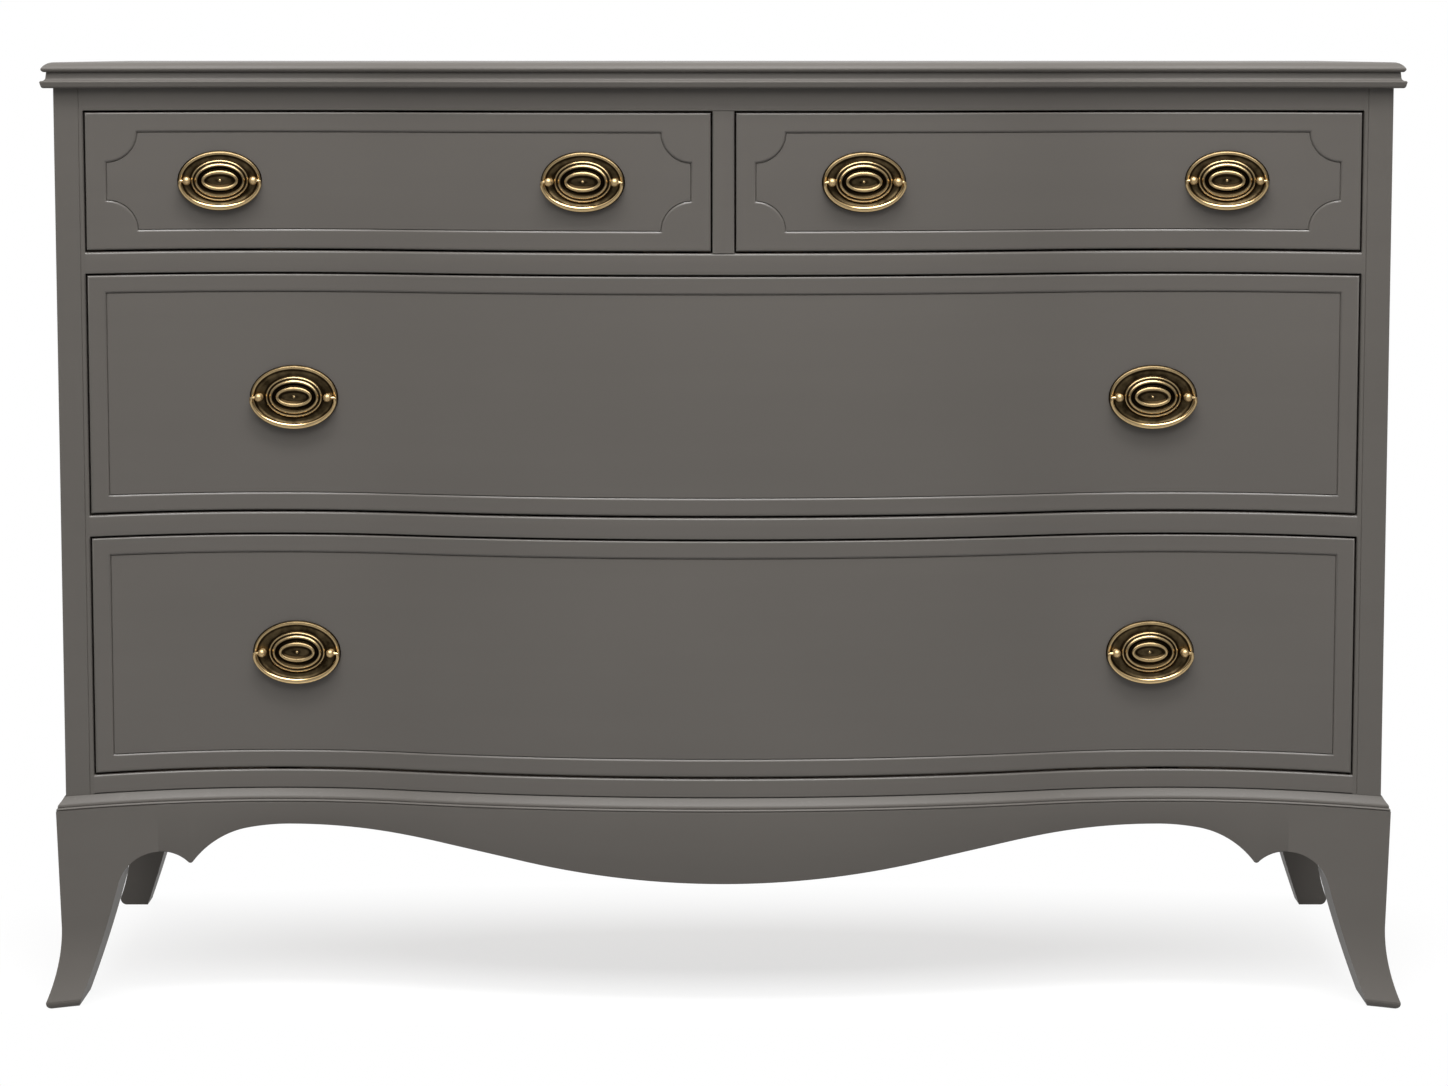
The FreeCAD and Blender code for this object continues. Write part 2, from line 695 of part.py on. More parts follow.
def make_runners():
    """Runner frames, drawer guides and drawer stops."""
    levels = (bottom_rail_top, lower_divider_top, upper_divider_top)
    pieces = []
    for level, top in enumerate(levels):
        bottom = top - dim.divider_thickness
        pieces.append(block("runner_tie_%d" % level, (-panel_inner, panel_inner),
                            (tie_front, rear_rail_front), (bottom, top)))
        for side, word in ((RIGHT, "left"), (LEFT, "right")):
            pieces.append(block(
                "%s_runner_%d" % (word, level),
                side_range(side, panel_inner - dim.runner_width, panel_inner),
                (dim.rail_back, tie_front), (bottom, top)))
            pieces.append(block(
                "%s_guide_%d" % (word, level), side_range(side, post_inner, panel_inner),
                (dim.rail_back, tie_front), (top, top + dim.guide_height)))
    centre_half = dim.centre_runner_width / 2
    pieces.append(block("centre_runner", (-centre_half, centre_half), (dim.rail_back, tie_front),
                        (upper_divider_bottom, upper_divider_top)))
    pieces.append(block("centre_guide", (-stile_half, stile_half), (dim.rail_back, tie_front),
                        (upper_divider_top, upper_divider_top + dim.guide_height)))
    nodes = {"drawer_runners": group("drawer_runners", pieces)}

    stops = []
    stop_half = dim.stop_width / 2
    places = [(bottom_rail_top, dim.hollow_place), (lower_divider_top, dim.hollow_place),
              (upper_divider_top, dim.hollow_place), (upper_divider_top, dim.inner_stop_place)]
    for number, (level, place) in enumerate(places):
        inner_face = -dim.front_thickness
        if place.number < blend_x(inner_face).number:
            deepest = front_y(place + stop_half, inner_face)
        else:
            deepest = front_y(place, inner_face)
        for side, word in ((RIGHT, "left"), (LEFT, "right")):
            front = deepest + dim.stop_clearance
            stops.append(block("%s_stop_%d" % (word, number),
                               side_range(side, place - stop_half, place + stop_half),
                               (front, front + dim.stop_depth), (level, level + dim.stop_height)))
    nodes["drawer_stops"] = group("drawer_stops", stops)
    return nodes


def top_edge_profile(inner, offset):
    """Double bead of the top: corners from the upper face to the underside."""
    top = overall_height
    lower_tip = offset + dim.top_overhang
    upper_tip = lower_tip - dim.upper_bead_setback
    quirk = upper_tip - dim.quirk_depth
    return [
        (inner, top),
        (upper_tip - dim.upper_bead_run, top, dim.shoulder_radius, RIGHT),
        (upper_tip, top - dim.upper_bead_drop, dim.bead_turn_radius, RIGHT),
        (quirk, top - dim.quirk_top),
        (quirk, top - dim.quirk_bottom, dim.bead_turn_radius, RIGHT),
        (lower_tip, top - dim.lower_bead_drop, dim.under_radius, RIGHT),
        (offset, case_top),
        (inner, case_top)]


def cross_section(profile):
    """Outline across the whole object, from a right-hand profile with its inner corners dropped."""
    right = profile[1:-1]
    return right + mirrored(reversed_line(right))


def make_top():
    """The moulded top, the cleats under it and the screws that hold it."""
    strip_inner = dim.quirk_depth - dim.upper_bead_run * 2
    strips = serpentine_strip("top_edge", top_edge_profile(strip_inner, length(0)))
    core = prism("top_core", "plan",
                 front_line(-sweep_end, sweep_end, strip_inner / 2)
                 + [(sweep_end, dim.case_depth + dim.top_back_overhang),
                    (-sweep_end, dim.case_depth + dim.top_back_overhang)],
                 case_top, overall_height)
    long_part = fuse("top_long_part", strips + [core])
    ends = prism("top_ends", "front", cross_section(top_edge_profile(length(0), case_half)),
                 -TRIM_MARGIN, dim.case_depth + dim.top_back_overhang)
    blank = common("top_blank", long_part, ends)

    cleat_bottom = case_top - dim.cleat_height
    cleats = [block("centre_cleat", (-dim.centre_runner_width / 2, dim.centre_runner_width / 2),
                    (dim.rail_back, rear_rail_front), (cleat_bottom, case_top))]
    for side, word in ((RIGHT, "left"), (LEFT, "right")):
        cleats.append(block(word + "_cleat", side_range(side, panel_inner - dim.cleat_width, panel_inner),
                            (dim.rail_back, rear_rail_front), (cleat_bottom, case_top)))
    cleat_blanks = group("cleat_blanks", cleats)

    first = dim.rail_back + dim.screw_end_inset
    last = rear_rail_front - dim.screw_end_inset
    side_line = panel_inner - dim.cleat_width / 2
    screws = []
    for x in (-side_line, length(0), side_line):
        for y in (first, (first + last) / 2, last):
            screws.append(top_screw("top_screw_%d" % len(screws), x, y, cleat_bottom))
    nodes = {"top_screws": group("top_screws", screws)}
    nodes["top_cleats"] = cut("top_cleats", cleat_blanks, nodes["top_screws"])
    nodes["top_board"] = cut("top_board", blank, nodes["top_screws"])
    return nodes


def top_screw(name, x, y, bottom):
    """A countersunk screw, head down, up into the top."""
    tip = dim.cleat_height + dim.screw_bite
    body = new_body(name, shifted=False)
    sketch = new_sketch(body, "front")
    draw(sketch, [(0, 0), (dim.screw_head_radius, 0), (dim.screw_radius, dim.screw_head_height),
                  (dim.screw_radius, tip - dim.screw_radius), (0, tip)])
    turned = body.newObject("PartDesign::Revolution", name + "_turned")
    turned.Profile = sketch
    turned.ReferenceAxis = (sketch, ["V_Axis"])
    turned.Angle = 360
    bind(body, "Placement.Base.x", x)
    bind(body, "Placement.Base.y", y + frame_shift)
    bind(body, "Placement.Base.z", bottom)
    return body


def base_moulding_profile(offset):
    """Round and bead on top of the feet and aprons."""
    top = base_moulding_top
    outer = offset + dim.base_projection
    quirk = outer - dim.moulding_quirk
    return [
        (offset, top),
        (offset + dim.moulding_ledge, top, dim.moulding_round_radius, RIGHT),
        (quirk, top - dim.moulding_round_drop, dim.moulding_bead_radius, RIGHT),
        (outer - dim.moulding_quirk / 2, dim.leg_height),
        (offset, dim.leg_height)]


def make_base_moulding():
    """Front moulding with its returned ends, and the straight side mouldings."""
    strips = serpentine_strip("base_edge", base_moulding_profile(length(0)))
    long_part = fuse("base_edge_long", strips)
    ends = prism("base_edge_ends", "front", cross_section(base_moulding_profile(case_half)),
                 -TRIM_MARGIN, dim.post_back + TRIM_MARGIN)
    nodes = {"base_moulding_front": common("base_moulding_front", long_part, ends)}
    sides = []
    inner_end = case_half - TRIM_MARGIN / 2
    outer_end = case_half + TRIM_MARGIN
    start = front_y(outer_end, 0) - TRIM_MARGIN
    for side, word in ((RIGHT, "left"), (LEFT, "right")):
        body = prism(word + "_base_moulding", "front", sided(base_moulding_profile(case_half), side),
                     start, dim.case_depth)
        ahead = front_line(inner_end, outer_end, 0) + [
            (outer_end, start - TRIM_MARGIN), (inner_end, start - TRIM_MARGIN)]
        sketch = new_sketch(body, "plan", dim.leg_height)
        draw(sketch, sided(ahead, side))
        pocket(body, sketch, "plan", dim.base_moulding_height)
        sides.append(body)
    nodes["base_moulding_sides"] = group("base_moulding_sides", sides)
    return nodes


# Base

def flare_radius(flare, rise):
    """Radius of an arc that leaves the upright and reaches a flare over a rise."""
    return (flare * flare + rise * rise) / (flare * 2)


def foot_front_outline():
    """Front view of the right-hand foot, from its joint with the apron to its toe."""
    return [
        (apron_seam, dim.leg_height),
        (apron_seam, small_arch_height, dim.small_arch_radius, RIGHT),
        (knee, knee_height, dim.leg_curve_radius, LEFT),
        (leg_face - dim.sole_inset, length(0)),
        (toe_tip - dim.toe_nose_back, length(0), dim.toe_nose_radius, LEFT),
        (toe_tip, dim.toe_nose, flare_radius(dim.toe_side_flare, toe_rise), RIGHT),
        (leg_face - dim.ankle_inset, dim.ankle_height),
        (leg_face, dim.leg_height)]


def leg_side_profile():
    """Section through a front leg: how far each corner stands proud of the case."""
    face = dim.base_projection
    toe = face + dim.toe_front_flare
    return [
        (face, dim.leg_height),
        (face, dim.ankle_height, flare_radius(dim.toe_front_flare, toe_rise), LEFT),
        (toe, dim.toe_nose, dim.toe_nose_radius, RIGHT),
        (toe - dim.toe_nose_back, length(0)),
        (face - dim.leg_depth + dim.sole_shift, length(0), flare_radius(dim.sole_shift, dim.ankle_height), RIGHT),
        (face - dim.leg_depth, dim.ankle_height),
        (face - dim.leg_depth, dim.leg_height)]


def front_foot(name, side):
    """A front foot: a splayed leg with a bracket wing along the front and along the side."""
    start = 90 - arc_sine((sweep_end - dim.hollow_place) / dim.hollow_radius)
    inner = arc_sine((apron_seam - TRIM_MARGIN - dim.hollow_place) / dim.hollow_radius)
    if side < 0:
        start, turn = 90 + inner, 90 - inner - start
    else:
        turn = 90 - inner - start
    leg = ring(name + "_leg", leg_side_profile(), dim.hollow_place * side, hollow_centre,
               dim.hollow_radius, -1, start, turn)
    knee_y = dim.wing_reach - (knee - apron_seam)
    wing_root = dim.post_back - dim.apron_thickness
    wing_outline = [
        (wing_root, dim.leg_height),
        (dim.wing_reach, dim.leg_height),
        (dim.wing_reach, small_arch_height, dim.small_arch_radius, LEFT),
        (knee_y, knee_height),
        (wing_root, dim.ankle_height)]
    wing_range = side_range(side, apron_inner, leg_face + TRIM_MARGIN)
    wing = prism(name + "_wing", "side", wing_outline, wing_range[0], wing_range[1])
    both = fuse(name + "_leg_and_wing", [leg, wing])
    outline = prism(name + "_outline", "front", sided(foot_front_outline(), side),
                    -2 * TRIM_MARGIN, dim.wing_reach + TRIM_MARGIN)
    shaped = common(name + "_shaped", both, outline)
    wing_back = front_y(apron_seam, dim.base_projection - dim.apron_thickness)
    hollow = block(name + "_inside", side_range(side, apron_seam - TRIM_MARGIN, knee),
                   (wing_back, dim.wing_reach + TRIM_MARGIN),
                   (knee_height - TRIM_MARGIN, dim.leg_height + TRIM_MARGIN))
    return cut(name, shaped, hollow)


def rear_foot(name, side):
    """A rear foot: splayed to the side only and flush with the back of the case."""
    back = dim.case_depth
    knee_y = back - (leg_face - knee)
    crown_y = back - dim.seam_inset
    sole_y = back - dim.rear_sole_depth
    side_outline = [
        (back, dim.leg_height),
        (crown_y, dim.leg_height),
        (crown_y, small_arch_height, dim.small_arch_radius, RIGHT),
        (knee_y, knee_height, dim.leg_curve_radius, LEFT),
        (sole_y, length(0)),
        (back, length(0))]
    reach = side_range(side, apron_seam - TRIM_MARGIN, leg_face + TRIM_MARGIN)
    depth = prism(name + "_depth", "side", side_outline, reach[0], reach[1])
    outline = prism(name + "_outline", "front", sided(foot_front_outline(), side),
                    crown_y - TRIM_MARGIN, back + TRIM_MARGIN)
    shaped = common(name + "_shaped", depth, outline)
    heights = (knee_height - TRIM_MARGIN, dim.leg_height + TRIM_MARGIN)
    behind_wing = block(name + "_inside", side_range(side, apron_seam - TRIM_MARGIN, knee),
                        (crown_y - TRIM_MARGIN, back - dim.apron_thickness), heights)
    beside_wing = block(name + "_inner_corner", side_range(side, knee - TRIM_MARGIN, apron_inner),
                        (crown_y - TRIM_MARGIN, knee_y), heights)
    return cut(name, shaped, fuse(name + "_hollow", [behind_wing, beside_wing]))


def apron_lower_edge():
    """Lower edge of the right half of the front apron, from the middle outwards."""
    return [
        (length(0), dim.leg_height - dim.middle_depth, dim.drop_radius, LEFT),
        (dim.drop_half, dim.leg_height - dim.drop_end_depth),
        (dim.rise_start, dim.leg_height - dim.rise_start_depth, dim.rise_radius, RIGHT),
        (arch_end - dim.crown_inset, dim.leg_height - dim.crown_depth, dim.crown_radius, RIGHT),
        (arch_end - dim.shoulder_inset, dim.leg_height - dim.shoulder_depth, dim.arch_end_radius, RIGHT),
        (arch_end, cusp_height, dim.cusp_radius, LEFT),
        (cusp, cusp_height, dim.small_arch_radius, RIGHT),
        (apron_seam, small_arch_height)]


def make_base():
    """Feet, aprons and corner blocks."""
    nodes = {}
    apron_bottom = dim.leg_height - dim.middle_depth
    apron = prism("front_apron", "plan",
                  slab_outline(-apron_seam, apron_seam, dim.base_projection, dim.apron_thickness),
                  apron_bottom - TRIM_MARGIN, dim.leg_height)
    right = apron_lower_edge()
    whole = mirrored(reversed_line(right))[:-1] + right
    below = apron_bottom - TRIM_MARGIN * 2
    outer = apron_seam + TRIM_MARGIN
    sketch = new_sketch(apron, "front", -TRIM_MARGIN)
    draw(sketch, whole + [(outer, small_arch_height), (outer, below), (-outer, below),
                          (-outer, small_arch_height)])
    pocket(apron, sketch, "front", dim.rail_back + TRIM_MARGIN * 2)
    nodes["front_apron"] = apron

    slant = dim.ankle_inset * dim.small_arch_depth / (dim.leg_height - dim.ankle_height)
    block_height = (dim.leg_height - dim.corner_block_height, dim.leg_height)
    block_x = (apron_inner - dim.corner_block_width, apron_inner)
    leg_back = front_y(block_x[0], dim.base_projection - dim.leg_depth)
    rear_leg_front = dim.case_depth - (leg_face - knee)
    side_aprons, blocks = [], []
    for side, word in ((RIGHT, "left"), (LEFT, "right")):
        nodes[word + "_front_foot"] = front_foot(word + "_front_foot", side)
        nodes[word + "_rear_foot"] = rear_foot(word + "_rear_foot", side)
        board = [(apron_inner, dim.leg_height), (leg_face, dim.leg_height),
                 (leg_face - slant, small_arch_height), (apron_inner, small_arch_height)]
        side_aprons.append(prism(word + "_side_apron", "front", sided(board, side),
                                 dim.wing_reach, dim.case_depth - dim.seam_inset))
        for place, y_low in (("front", leg_back), ("rear", rear_leg_front - dim.corner_block_width)):
            blocks.append(block("%s_%s_corner_block" % (word, place), side_range(side, block_x[0], block_x[1]),
                                (y_low, y_low + dim.corner_block_width), block_height))
    nodes["side_aprons"] = group("side_aprons", side_aprons)
    nodes["base_corner_blocks"] = group("base_corner_blocks", blocks)
    return nodes


# Pulls. Each is drawn about its own centre: X along the drawer front, Y into it.

class PullPlace:
    """Where one pull sits on the serpentine front and which way it faces."""

    def __init__(self, x, z, plate_width, plate_height, spread):
        self.z = z
        self.half_width = plate_width / 2
        self.half_height = plate_height / 2
        self.half_spread = spread / 2
        x = length(x)
        if abs(x.number) < blend_x(0).number:
            self.seat = -dim.field_depth
            self.sine = x / (dim.belly_radius + self.seat)
        else:
            side = 1 if x.number > 0 else -1
            radius = dim.hollow_radius + dim.field_depth
            self.seat = dim.hollow_radius - root(radius * radius - self.half_width * self.half_width)
            self.sine = (dim.hollow_place * side - x) / (dim.hollow_radius - self.seat)
        self.cosine = root(1 - self.sine * self.sine)
        self.angle = arc_sine(self.sine)
        self.x = x
        self.y = front_y(x, self.seat)

    def put(self, item, along=0, out=0):
        """Place an item that is drawn about the origin, set along and out of the plate."""
        along, out = length(along), length(out)
        bind(item, "Placement.Base.x", self.x + along * self.cosine + out * self.sine)
        bind(item, "Placement.Base.y", self.y + along * self.sine - out * self.cosine + frame_shift)
        bind(item, "Placement.Base.z", self.z)
        bind(item, "Placement.Rotation.Angle", self.angle)


def oval(name, half_long, half_tall, out):
    """An upright ellipse standing out from the plane of the plate."""
    item = doc.addObject("Part::Ellipse", name)
    bind(item, "MajorRadius", half_long)
    bind(item, "MinorRadius", half_tall)
    item.Placement = FreeCAD.Placement(FreeCAD.Vector(), FreeCAD.Rotation(FreeCAD.Vector(1, 0, 0), 90))
    bind(item, "Placement.Base.y", -length(out))
    return item


def plate_blank(name, place):
    """A stamped oval plate: rim, dish, raised ring and sunk middle oval."""
    wide, tall = place.half_width, place.half_height
    slope = dim.ring_slope
    middle = dim.centre_slope
    steps = [
        (wide, tall, -dim.plate_skirt),
        (wide, tall, dim.plate_edge_height),
        (wide - dim.rim_inset, tall - dim.rim_inset, dim.rim_height),
        (wide - dim.dish_inset, tall - dim.dish_inset, dim.dish_height),
        (dim.ring_long + slope, dim.ring_tall + slope, dim.dish_height),
        (dim.ring_long, dim.ring_tall, dim.ring_height),
        (dim.ring_long - dim.ring_width, dim.ring_tall - dim.ring_width, dim.ring_height),
        (dim.ring_long - dim.ring_width - slope, dim.ring_tall - dim.ring_width - slope, dim.dish_height),
        (dim.centre_long + middle, dim.centre_tall + middle, dim.dish_height),
        (dim.centre_long, dim.centre_tall, dim.centre_height),
        (dim.centre_long - middle, dim.centre_tall - middle, dim.centre_floor),
        (dim.nub_radius * 2, dim.nub_radius * 2, dim.centre_floor),
        (dim.nub_radius, dim.nub_radius, dim.nub_height)]
    loft = doc.addObject("Part::Loft", name)
    loft.Sections = [oval("%s_step_%d" % (name, number), *step) for number, step in enumerate(steps)]
    loft.Solid = True
    loft.Ruled = True
    place.put(loft)
    return loft


def turned_piece(name, corners, place, along):
    """A piece turned about the line that runs out of the plate."""
    body = new_body(name, shifted=False)
    sketch = new_sketch(body, "plan")
    draw(sketch, corners)
    turned = body.newObject("PartDesign::Revolution", name + "_turned")
    turned.Profile = sketch
    turned.ReferenceAxis = (sketch, ["V_Axis"])
    turned.Angle = 360
    place.put(body, along)
    return body


def ball_post(name, place, along):
    """A post with a collar on the plate and a ball head that holds the bail."""
    ball = dim.post_ball_radius
    shank = dim.post_shank_radius
    neck = root(ball * ball - shank * shank)
    inner_end = dim.front_thickness + dim.nut_thickness * 2
    body = turned_piece(name, [
        (length(0), -dim.post_standoff - ball, ball, LEFT),
        (ball, -dim.post_standoff, ball, LEFT),
        (shank, -dim.post_standoff + neck),
        (shank, -dim.post_collar_height),
        (dim.post_collar_radius, -dim.post_collar_height),
        (dim.post_collar_radius, -dim.dish_height),
        (shank, -dim.dish_height),
        (shank, inner_end),
        (length(0), inner_end)], place, along)
    hole = new_sketch(body, "side", -dim.post_ball_radius * 2)
    draw_circle(hole, -dim.post_standoff, 0, dim.pin_radius + dim.pin_clearance)
    pocket(body, hole, "side", dim.post_ball_radius * 4)
    return body


def nut_blank(name, place, along):
    """A round nut, long enough to be fitted to the curve of the drawer front."""
    shank = dim.post_shank_radius
    near = dim.front_thickness - dim.nut_thickness
    far = dim.front_thickness + dim.nut_thickness + place.seat
    return turned_piece(name, [
        (shank, near), (dim.nut_radius, near), (dim.nut_radius, far), (shank, far)], place, along)


def hole_pin(name, place, along):
    """The round space that a shank needs through the plate and the front."""
    radius = dim.post_shank_radius + dim.shank_clearance
    end = dim.front_thickness * 2
    return turned_piece(name, [(length(0), -end), (radius, -end), (radius, end), (length(0), end)], place, along)


def bail(name, place):
    """The swinging handle: half an oval hanging from two pins, at rest on the rim."""
    half_long = place.half_width - dim.bail_inset
    half_tall = place.half_height - dim.bail_inset
    away = dim.post_standoff - dim.rim_height - dim.bail_radius - dim.bail_rest_gap
    hang = arc_sine(away / half_tall)
    path = doc.addObject("Part::Ellipse", name + "_path")
    bind(path, "MajorRadius", half_long)
    bind(path, "MinorRadius", half_tall)
    path.Angle1 = 180
    path.Angle2 = 360
    path.Placement = FreeCAD.Placement(FreeCAD.Vector(), FreeCAD.Rotation(FreeCAD.Vector(1, 0, 0), 90))
    bind(path, "Placement.Rotation.Angle", 90 + hang)
    section = doc.addObject("Part::Circle", name + "_section")
    bind(section, "Radius", dim.bail_radius)
    section.Placement = FreeCAD.Placement(FreeCAD.Vector(), FreeCAD.Rotation(FreeCAD.Vector(1, 0, 0), 1))
    bind(section, "Placement.Rotation.Angle", hang)
    bind(section, "Placement.Base.x", -half_long)
    bow = doc.addObject("Part::Sweep", name + "_bow")
    bow.Sections = [section]
    bow.Spine = (path, ["Edge1"])
    bow.Solid = True
    parts = [bow]
    inner = place.half_spread - dim.post_ball_radius
    for side, word in ((RIGHT, "left"), (LEFT, "right")):
        pin = doc.addObject("Part::Cylinder", "%s_%s_pin" % (name, word))
        bind(pin, "Radius", dim.pin_radius)
        bind(pin, "Height", half_long - inner)
        pin.Placement = FreeCAD.Placement(FreeCAD.Vector(), FreeCAD.Rotation(FreeCAD.Vector(0, 1, 0), 90))
        bind(pin, "Placement.Base.x", inner if side > 0 else -half_long)
        knuckle = doc.addObject("Part::Sphere", "%s_%s_knuckle" % (name, word))
        bind(knuckle, "Radius", dim.bail_radius)
        bind(knuckle, "Placement.Base.x", half_long * side)
        parts += [pin, knuckle]
    whole = fuse(name, parts)
    place.put(whole, out=dim.post_standoff)
    return whole


# Drawers

def sunk_field(name, x_range, z_range, scooped):
    """The bevelled slab that is taken out of a drawer front to leave its sunk field."""
    field = prism(name, "plan", slab_outline(x_range[0], x_range[1], dim.field_depth, dim.field_depth * 2),
                  z_range[0], z_range[1])
    if scooped:
        corners = new_sketch(field, "front", -TRIM_MARGIN)
        for x in x_range:
            for z in z_range:
                draw_circle(corners, x, z, dim.field_corner_radius)
        pocket(field, corners, "front", dim.rail_back + TRIM_MARGIN)
    ease(field, "Chamfer", "Size", dim.field_bevel, face_edges(-dim.field_depth))
    return field


def drawer(word, x_low, x_high, bottom, height, field, pull_places):
    """One drawer with its box, its sunk field and its pulls."""
    nodes = {}
    face = prism(word + "_front_board", "plan",
                 slab_outline(x_low, x_high, length(0), dim.front_thickness), bottom, bottom + height)
    ease(face, "Fillet", "Radius", dim.front_edge_radius, face_edges(length(0)))
    sunk = cut(word + "_sunk_front", face, field)

    thickness = dim.drawer_side_thickness
    board_bottom = bottom + dim.drawer_bottom_rise
    board_top = board_bottom + dim.drawer_bottom_thickness
    into_side = thickness - dim.bottom_groove
    front_inside = dim.bottom_groove - dim.front_thickness
    board = prism(word + "_bottom", "plan",
                  front_line(x_low + into_side, x_high - into_side, front_inside)
                  + [(x_high - into_side, dim.drawer_length), (x_low + into_side, dim.drawer_length)],
                  board_bottom, board_top)
    nodes[word + "_bottom"] = board

    side_bottom = bottom - dim.drawer_gap + dim.runner_clearance
    side_top = bottom + height - dim.drawer_side_drop
    sides = []
    for name, low in (("left", x_low), ("right", x_high - thickness)):
        outline = front_line(low, low + thickness, -dim.front_thickness) + [
            (low + thickness, dim.drawer_length), (low, dim.drawer_length)]
        sides.append(prism("%s_%s_side_board" % (word, name), "plan", outline, side_bottom, side_top))
    nodes[word + "_sides"] = cut(word + "_sides", group(word + "_side_boards", sides), board)
    nodes[word + "_back"] = block(
        word + "_back", (x_low + thickness, x_high - thickness),
        (dim.drawer_length - thickness, dim.drawer_length), (board_top, side_top))

    plates, bolts, holes = [], [], []
    seat = prism(word + "_plate_seat", "plan",
                 slab_outline(x_low, x_high, dim.plate_gap - dim.field_depth, dim.front_thickness),
                 bottom, bottom + height)
    for name, place in pull_places:
        plate = plate_blank("%s_%s_plate_blank" % (word, name), place)
        post_holes, posts = [], []
        for end, along in (("left", -place.half_spread), ("right", place.half_spread)):
            label = "%s_%s_%s" % (word, name, end)
            post_holes.append(hole_pin(label + "_hole", place, along))
            posts.append(ball_post(label + "_post", place, along))
            posts.append(cut(label + "_nut", nut_blank(label + "_nut_blank", place, along), face))
        fitted = cut("%s_%s_plate_fitted" % (word, name), plate, seat)
        plates.append(cut("%s_%s_plate" % (word, name), fitted,
                          group("%s_%s_plate_holes" % (word, name), post_holes)))
        bolts += posts
        holes += post_holes
        nodes["%s_%s" % (word, name)] = bail("%s_%s" % (word, name), place)
    grooved = cut(word + "_grooved_front", sunk, board)
    nodes[word + "_front"] = cut(word + "_front", grooved, group(word + "_front_holes", holes))
    nodes[word + "_backplates"] = group(word + "_backplates", plates)
    nodes[word + "_pull_bolts"] = group(word + "_pull_bolts", bolts)
    return nodes


def mirror_copy(name, source):
    """The same shape on the other side of the centre line."""
    item = doc.addObject("Part::Mirroring", name)
    item.Source = source
    item.Base = (0, 0, 0)
    item.Normal = (1, 0, 0)
    return item


def make_drawers():
    """The two small drawers and the two wide ones."""
    nodes = {}
    pulls_z = upper_front_bottom + dim.upper_pull_rise
    oval_sizes = (dim.upper_plate_width, dim.upper_plate_height, dim.upper_post_spread)
    inset = dim.upper_field_inset
    right_field = sunk_field(
        "upper_right_field", (small_front_inner + inset, front_half - inset),
        (upper_front_bottom + inset, upper_front_bottom + dim.upper_front_height - inset), True)
    outer_pull = front_half - dim.outer_pull_inset
    inner_pull = small_front_inner + dim.inner_pull_inset
    small = (("upper_left_drawer", -front_half, -small_front_inner, mirror_copy("upper_left_field", right_field),
              -outer_pull, -inner_pull),
             ("upper_right_drawer", small_front_inner, front_half, right_field, inner_pull, outer_pull))
    for word, x_low, x_high, field, left_pull, right_pull in small:
        pulls = [("left_bail", PullPlace(left_pull, pulls_z, *oval_sizes)),
                 ("right_bail", PullPlace(right_pull, pulls_z, *oval_sizes))]
        nodes.update(drawer(word, x_low, x_high, upper_front_bottom, dim.upper_front_height, field, pulls))

    oval_sizes = (dim.lower_plate_width, dim.lower_plate_height, dim.lower_post_spread)
    inset = dim.lower_field_inset
    wide_pull = front_half - dim.wide_pull_inset
    for word, bottom, rise in (("middle_drawer", middle_front_bottom, dim.middle_pull_rise),
                               ("lower_drawer", lower_front_bottom, dim.lower_pull_rise)):
        field = sunk_field(word + "_field", (-front_half + inset, front_half - inset),
                           (bottom + inset, bottom + dim.lower_front_height - inset), False)
        pulls = [("left_bail", PullPlace(-wide_pull, bottom + rise, *oval_sizes)),
                 ("right_bail", PullPlace(wide_pull, bottom + rise, *oval_sizes))]
        nodes.update(drawer(word, -front_half, front_half, bottom, dim.lower_front_height, field, pulls))
    return nodes


def check(nodes):
    """Stop if any object failed or any piece is not a sound solid."""
    failed = [item.Name for item in doc.Objects if "Invalid" in item.State or "Error" in item.State]
    for name, item in nodes.items():
        shape = item.Shape
        if shape.isNull() or not shape.isValid() or not shape.Solids:
            failed.append(name)
    if failed:
        raise RuntimeError("these did not build: %s" % ", ".join(failed))


def main():
    """Build every piece and write each one to its own file."""
    nodes = {}
    for make in (make_carcase, make_runners, make_top, make_base_moulding, make_base, make_drawers):
        nodes.update(make())
    doc.recompute()
    check(nodes)
    os.makedirs("parts", exist_ok=True)
    for name, item in nodes.items():
        item.Label = name
        item.Shape.exportStep("parts/%s.step" % name)
    print("%d pieces, %.1f mm high" % (len(nodes), overall_height.number))


main()
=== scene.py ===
"""A painted serpentine-front dresser with oval brass pulls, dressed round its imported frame."""

import logging
import math
from dataclasses import dataclass
from enum import Enum
from typing import Iterable, Sequence

import bmesh
import bpy
from mathutils import Matrix, Vector


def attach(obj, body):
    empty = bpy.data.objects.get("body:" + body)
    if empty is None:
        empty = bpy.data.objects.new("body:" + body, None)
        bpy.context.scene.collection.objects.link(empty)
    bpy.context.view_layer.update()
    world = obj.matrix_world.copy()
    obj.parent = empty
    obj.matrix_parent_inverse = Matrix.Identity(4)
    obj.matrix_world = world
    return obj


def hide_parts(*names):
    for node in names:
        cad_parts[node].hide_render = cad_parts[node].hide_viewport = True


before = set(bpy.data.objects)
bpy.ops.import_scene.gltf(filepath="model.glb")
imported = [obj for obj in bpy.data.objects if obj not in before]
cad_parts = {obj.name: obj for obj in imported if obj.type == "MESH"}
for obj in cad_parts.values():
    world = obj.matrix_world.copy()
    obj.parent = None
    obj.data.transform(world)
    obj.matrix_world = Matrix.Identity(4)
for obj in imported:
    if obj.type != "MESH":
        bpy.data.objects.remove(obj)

MM = 0.001
LOG = logging.getLogger("dresser")
Colour = tuple[float, float, float]
Row = list[Vector]
Flat = tuple[float, float]
Corner = tuple[float, ...]
Tree = bpy.types.NodeTree
Node = bpy.types.Node
Socket = bpy.types.NodeSocket
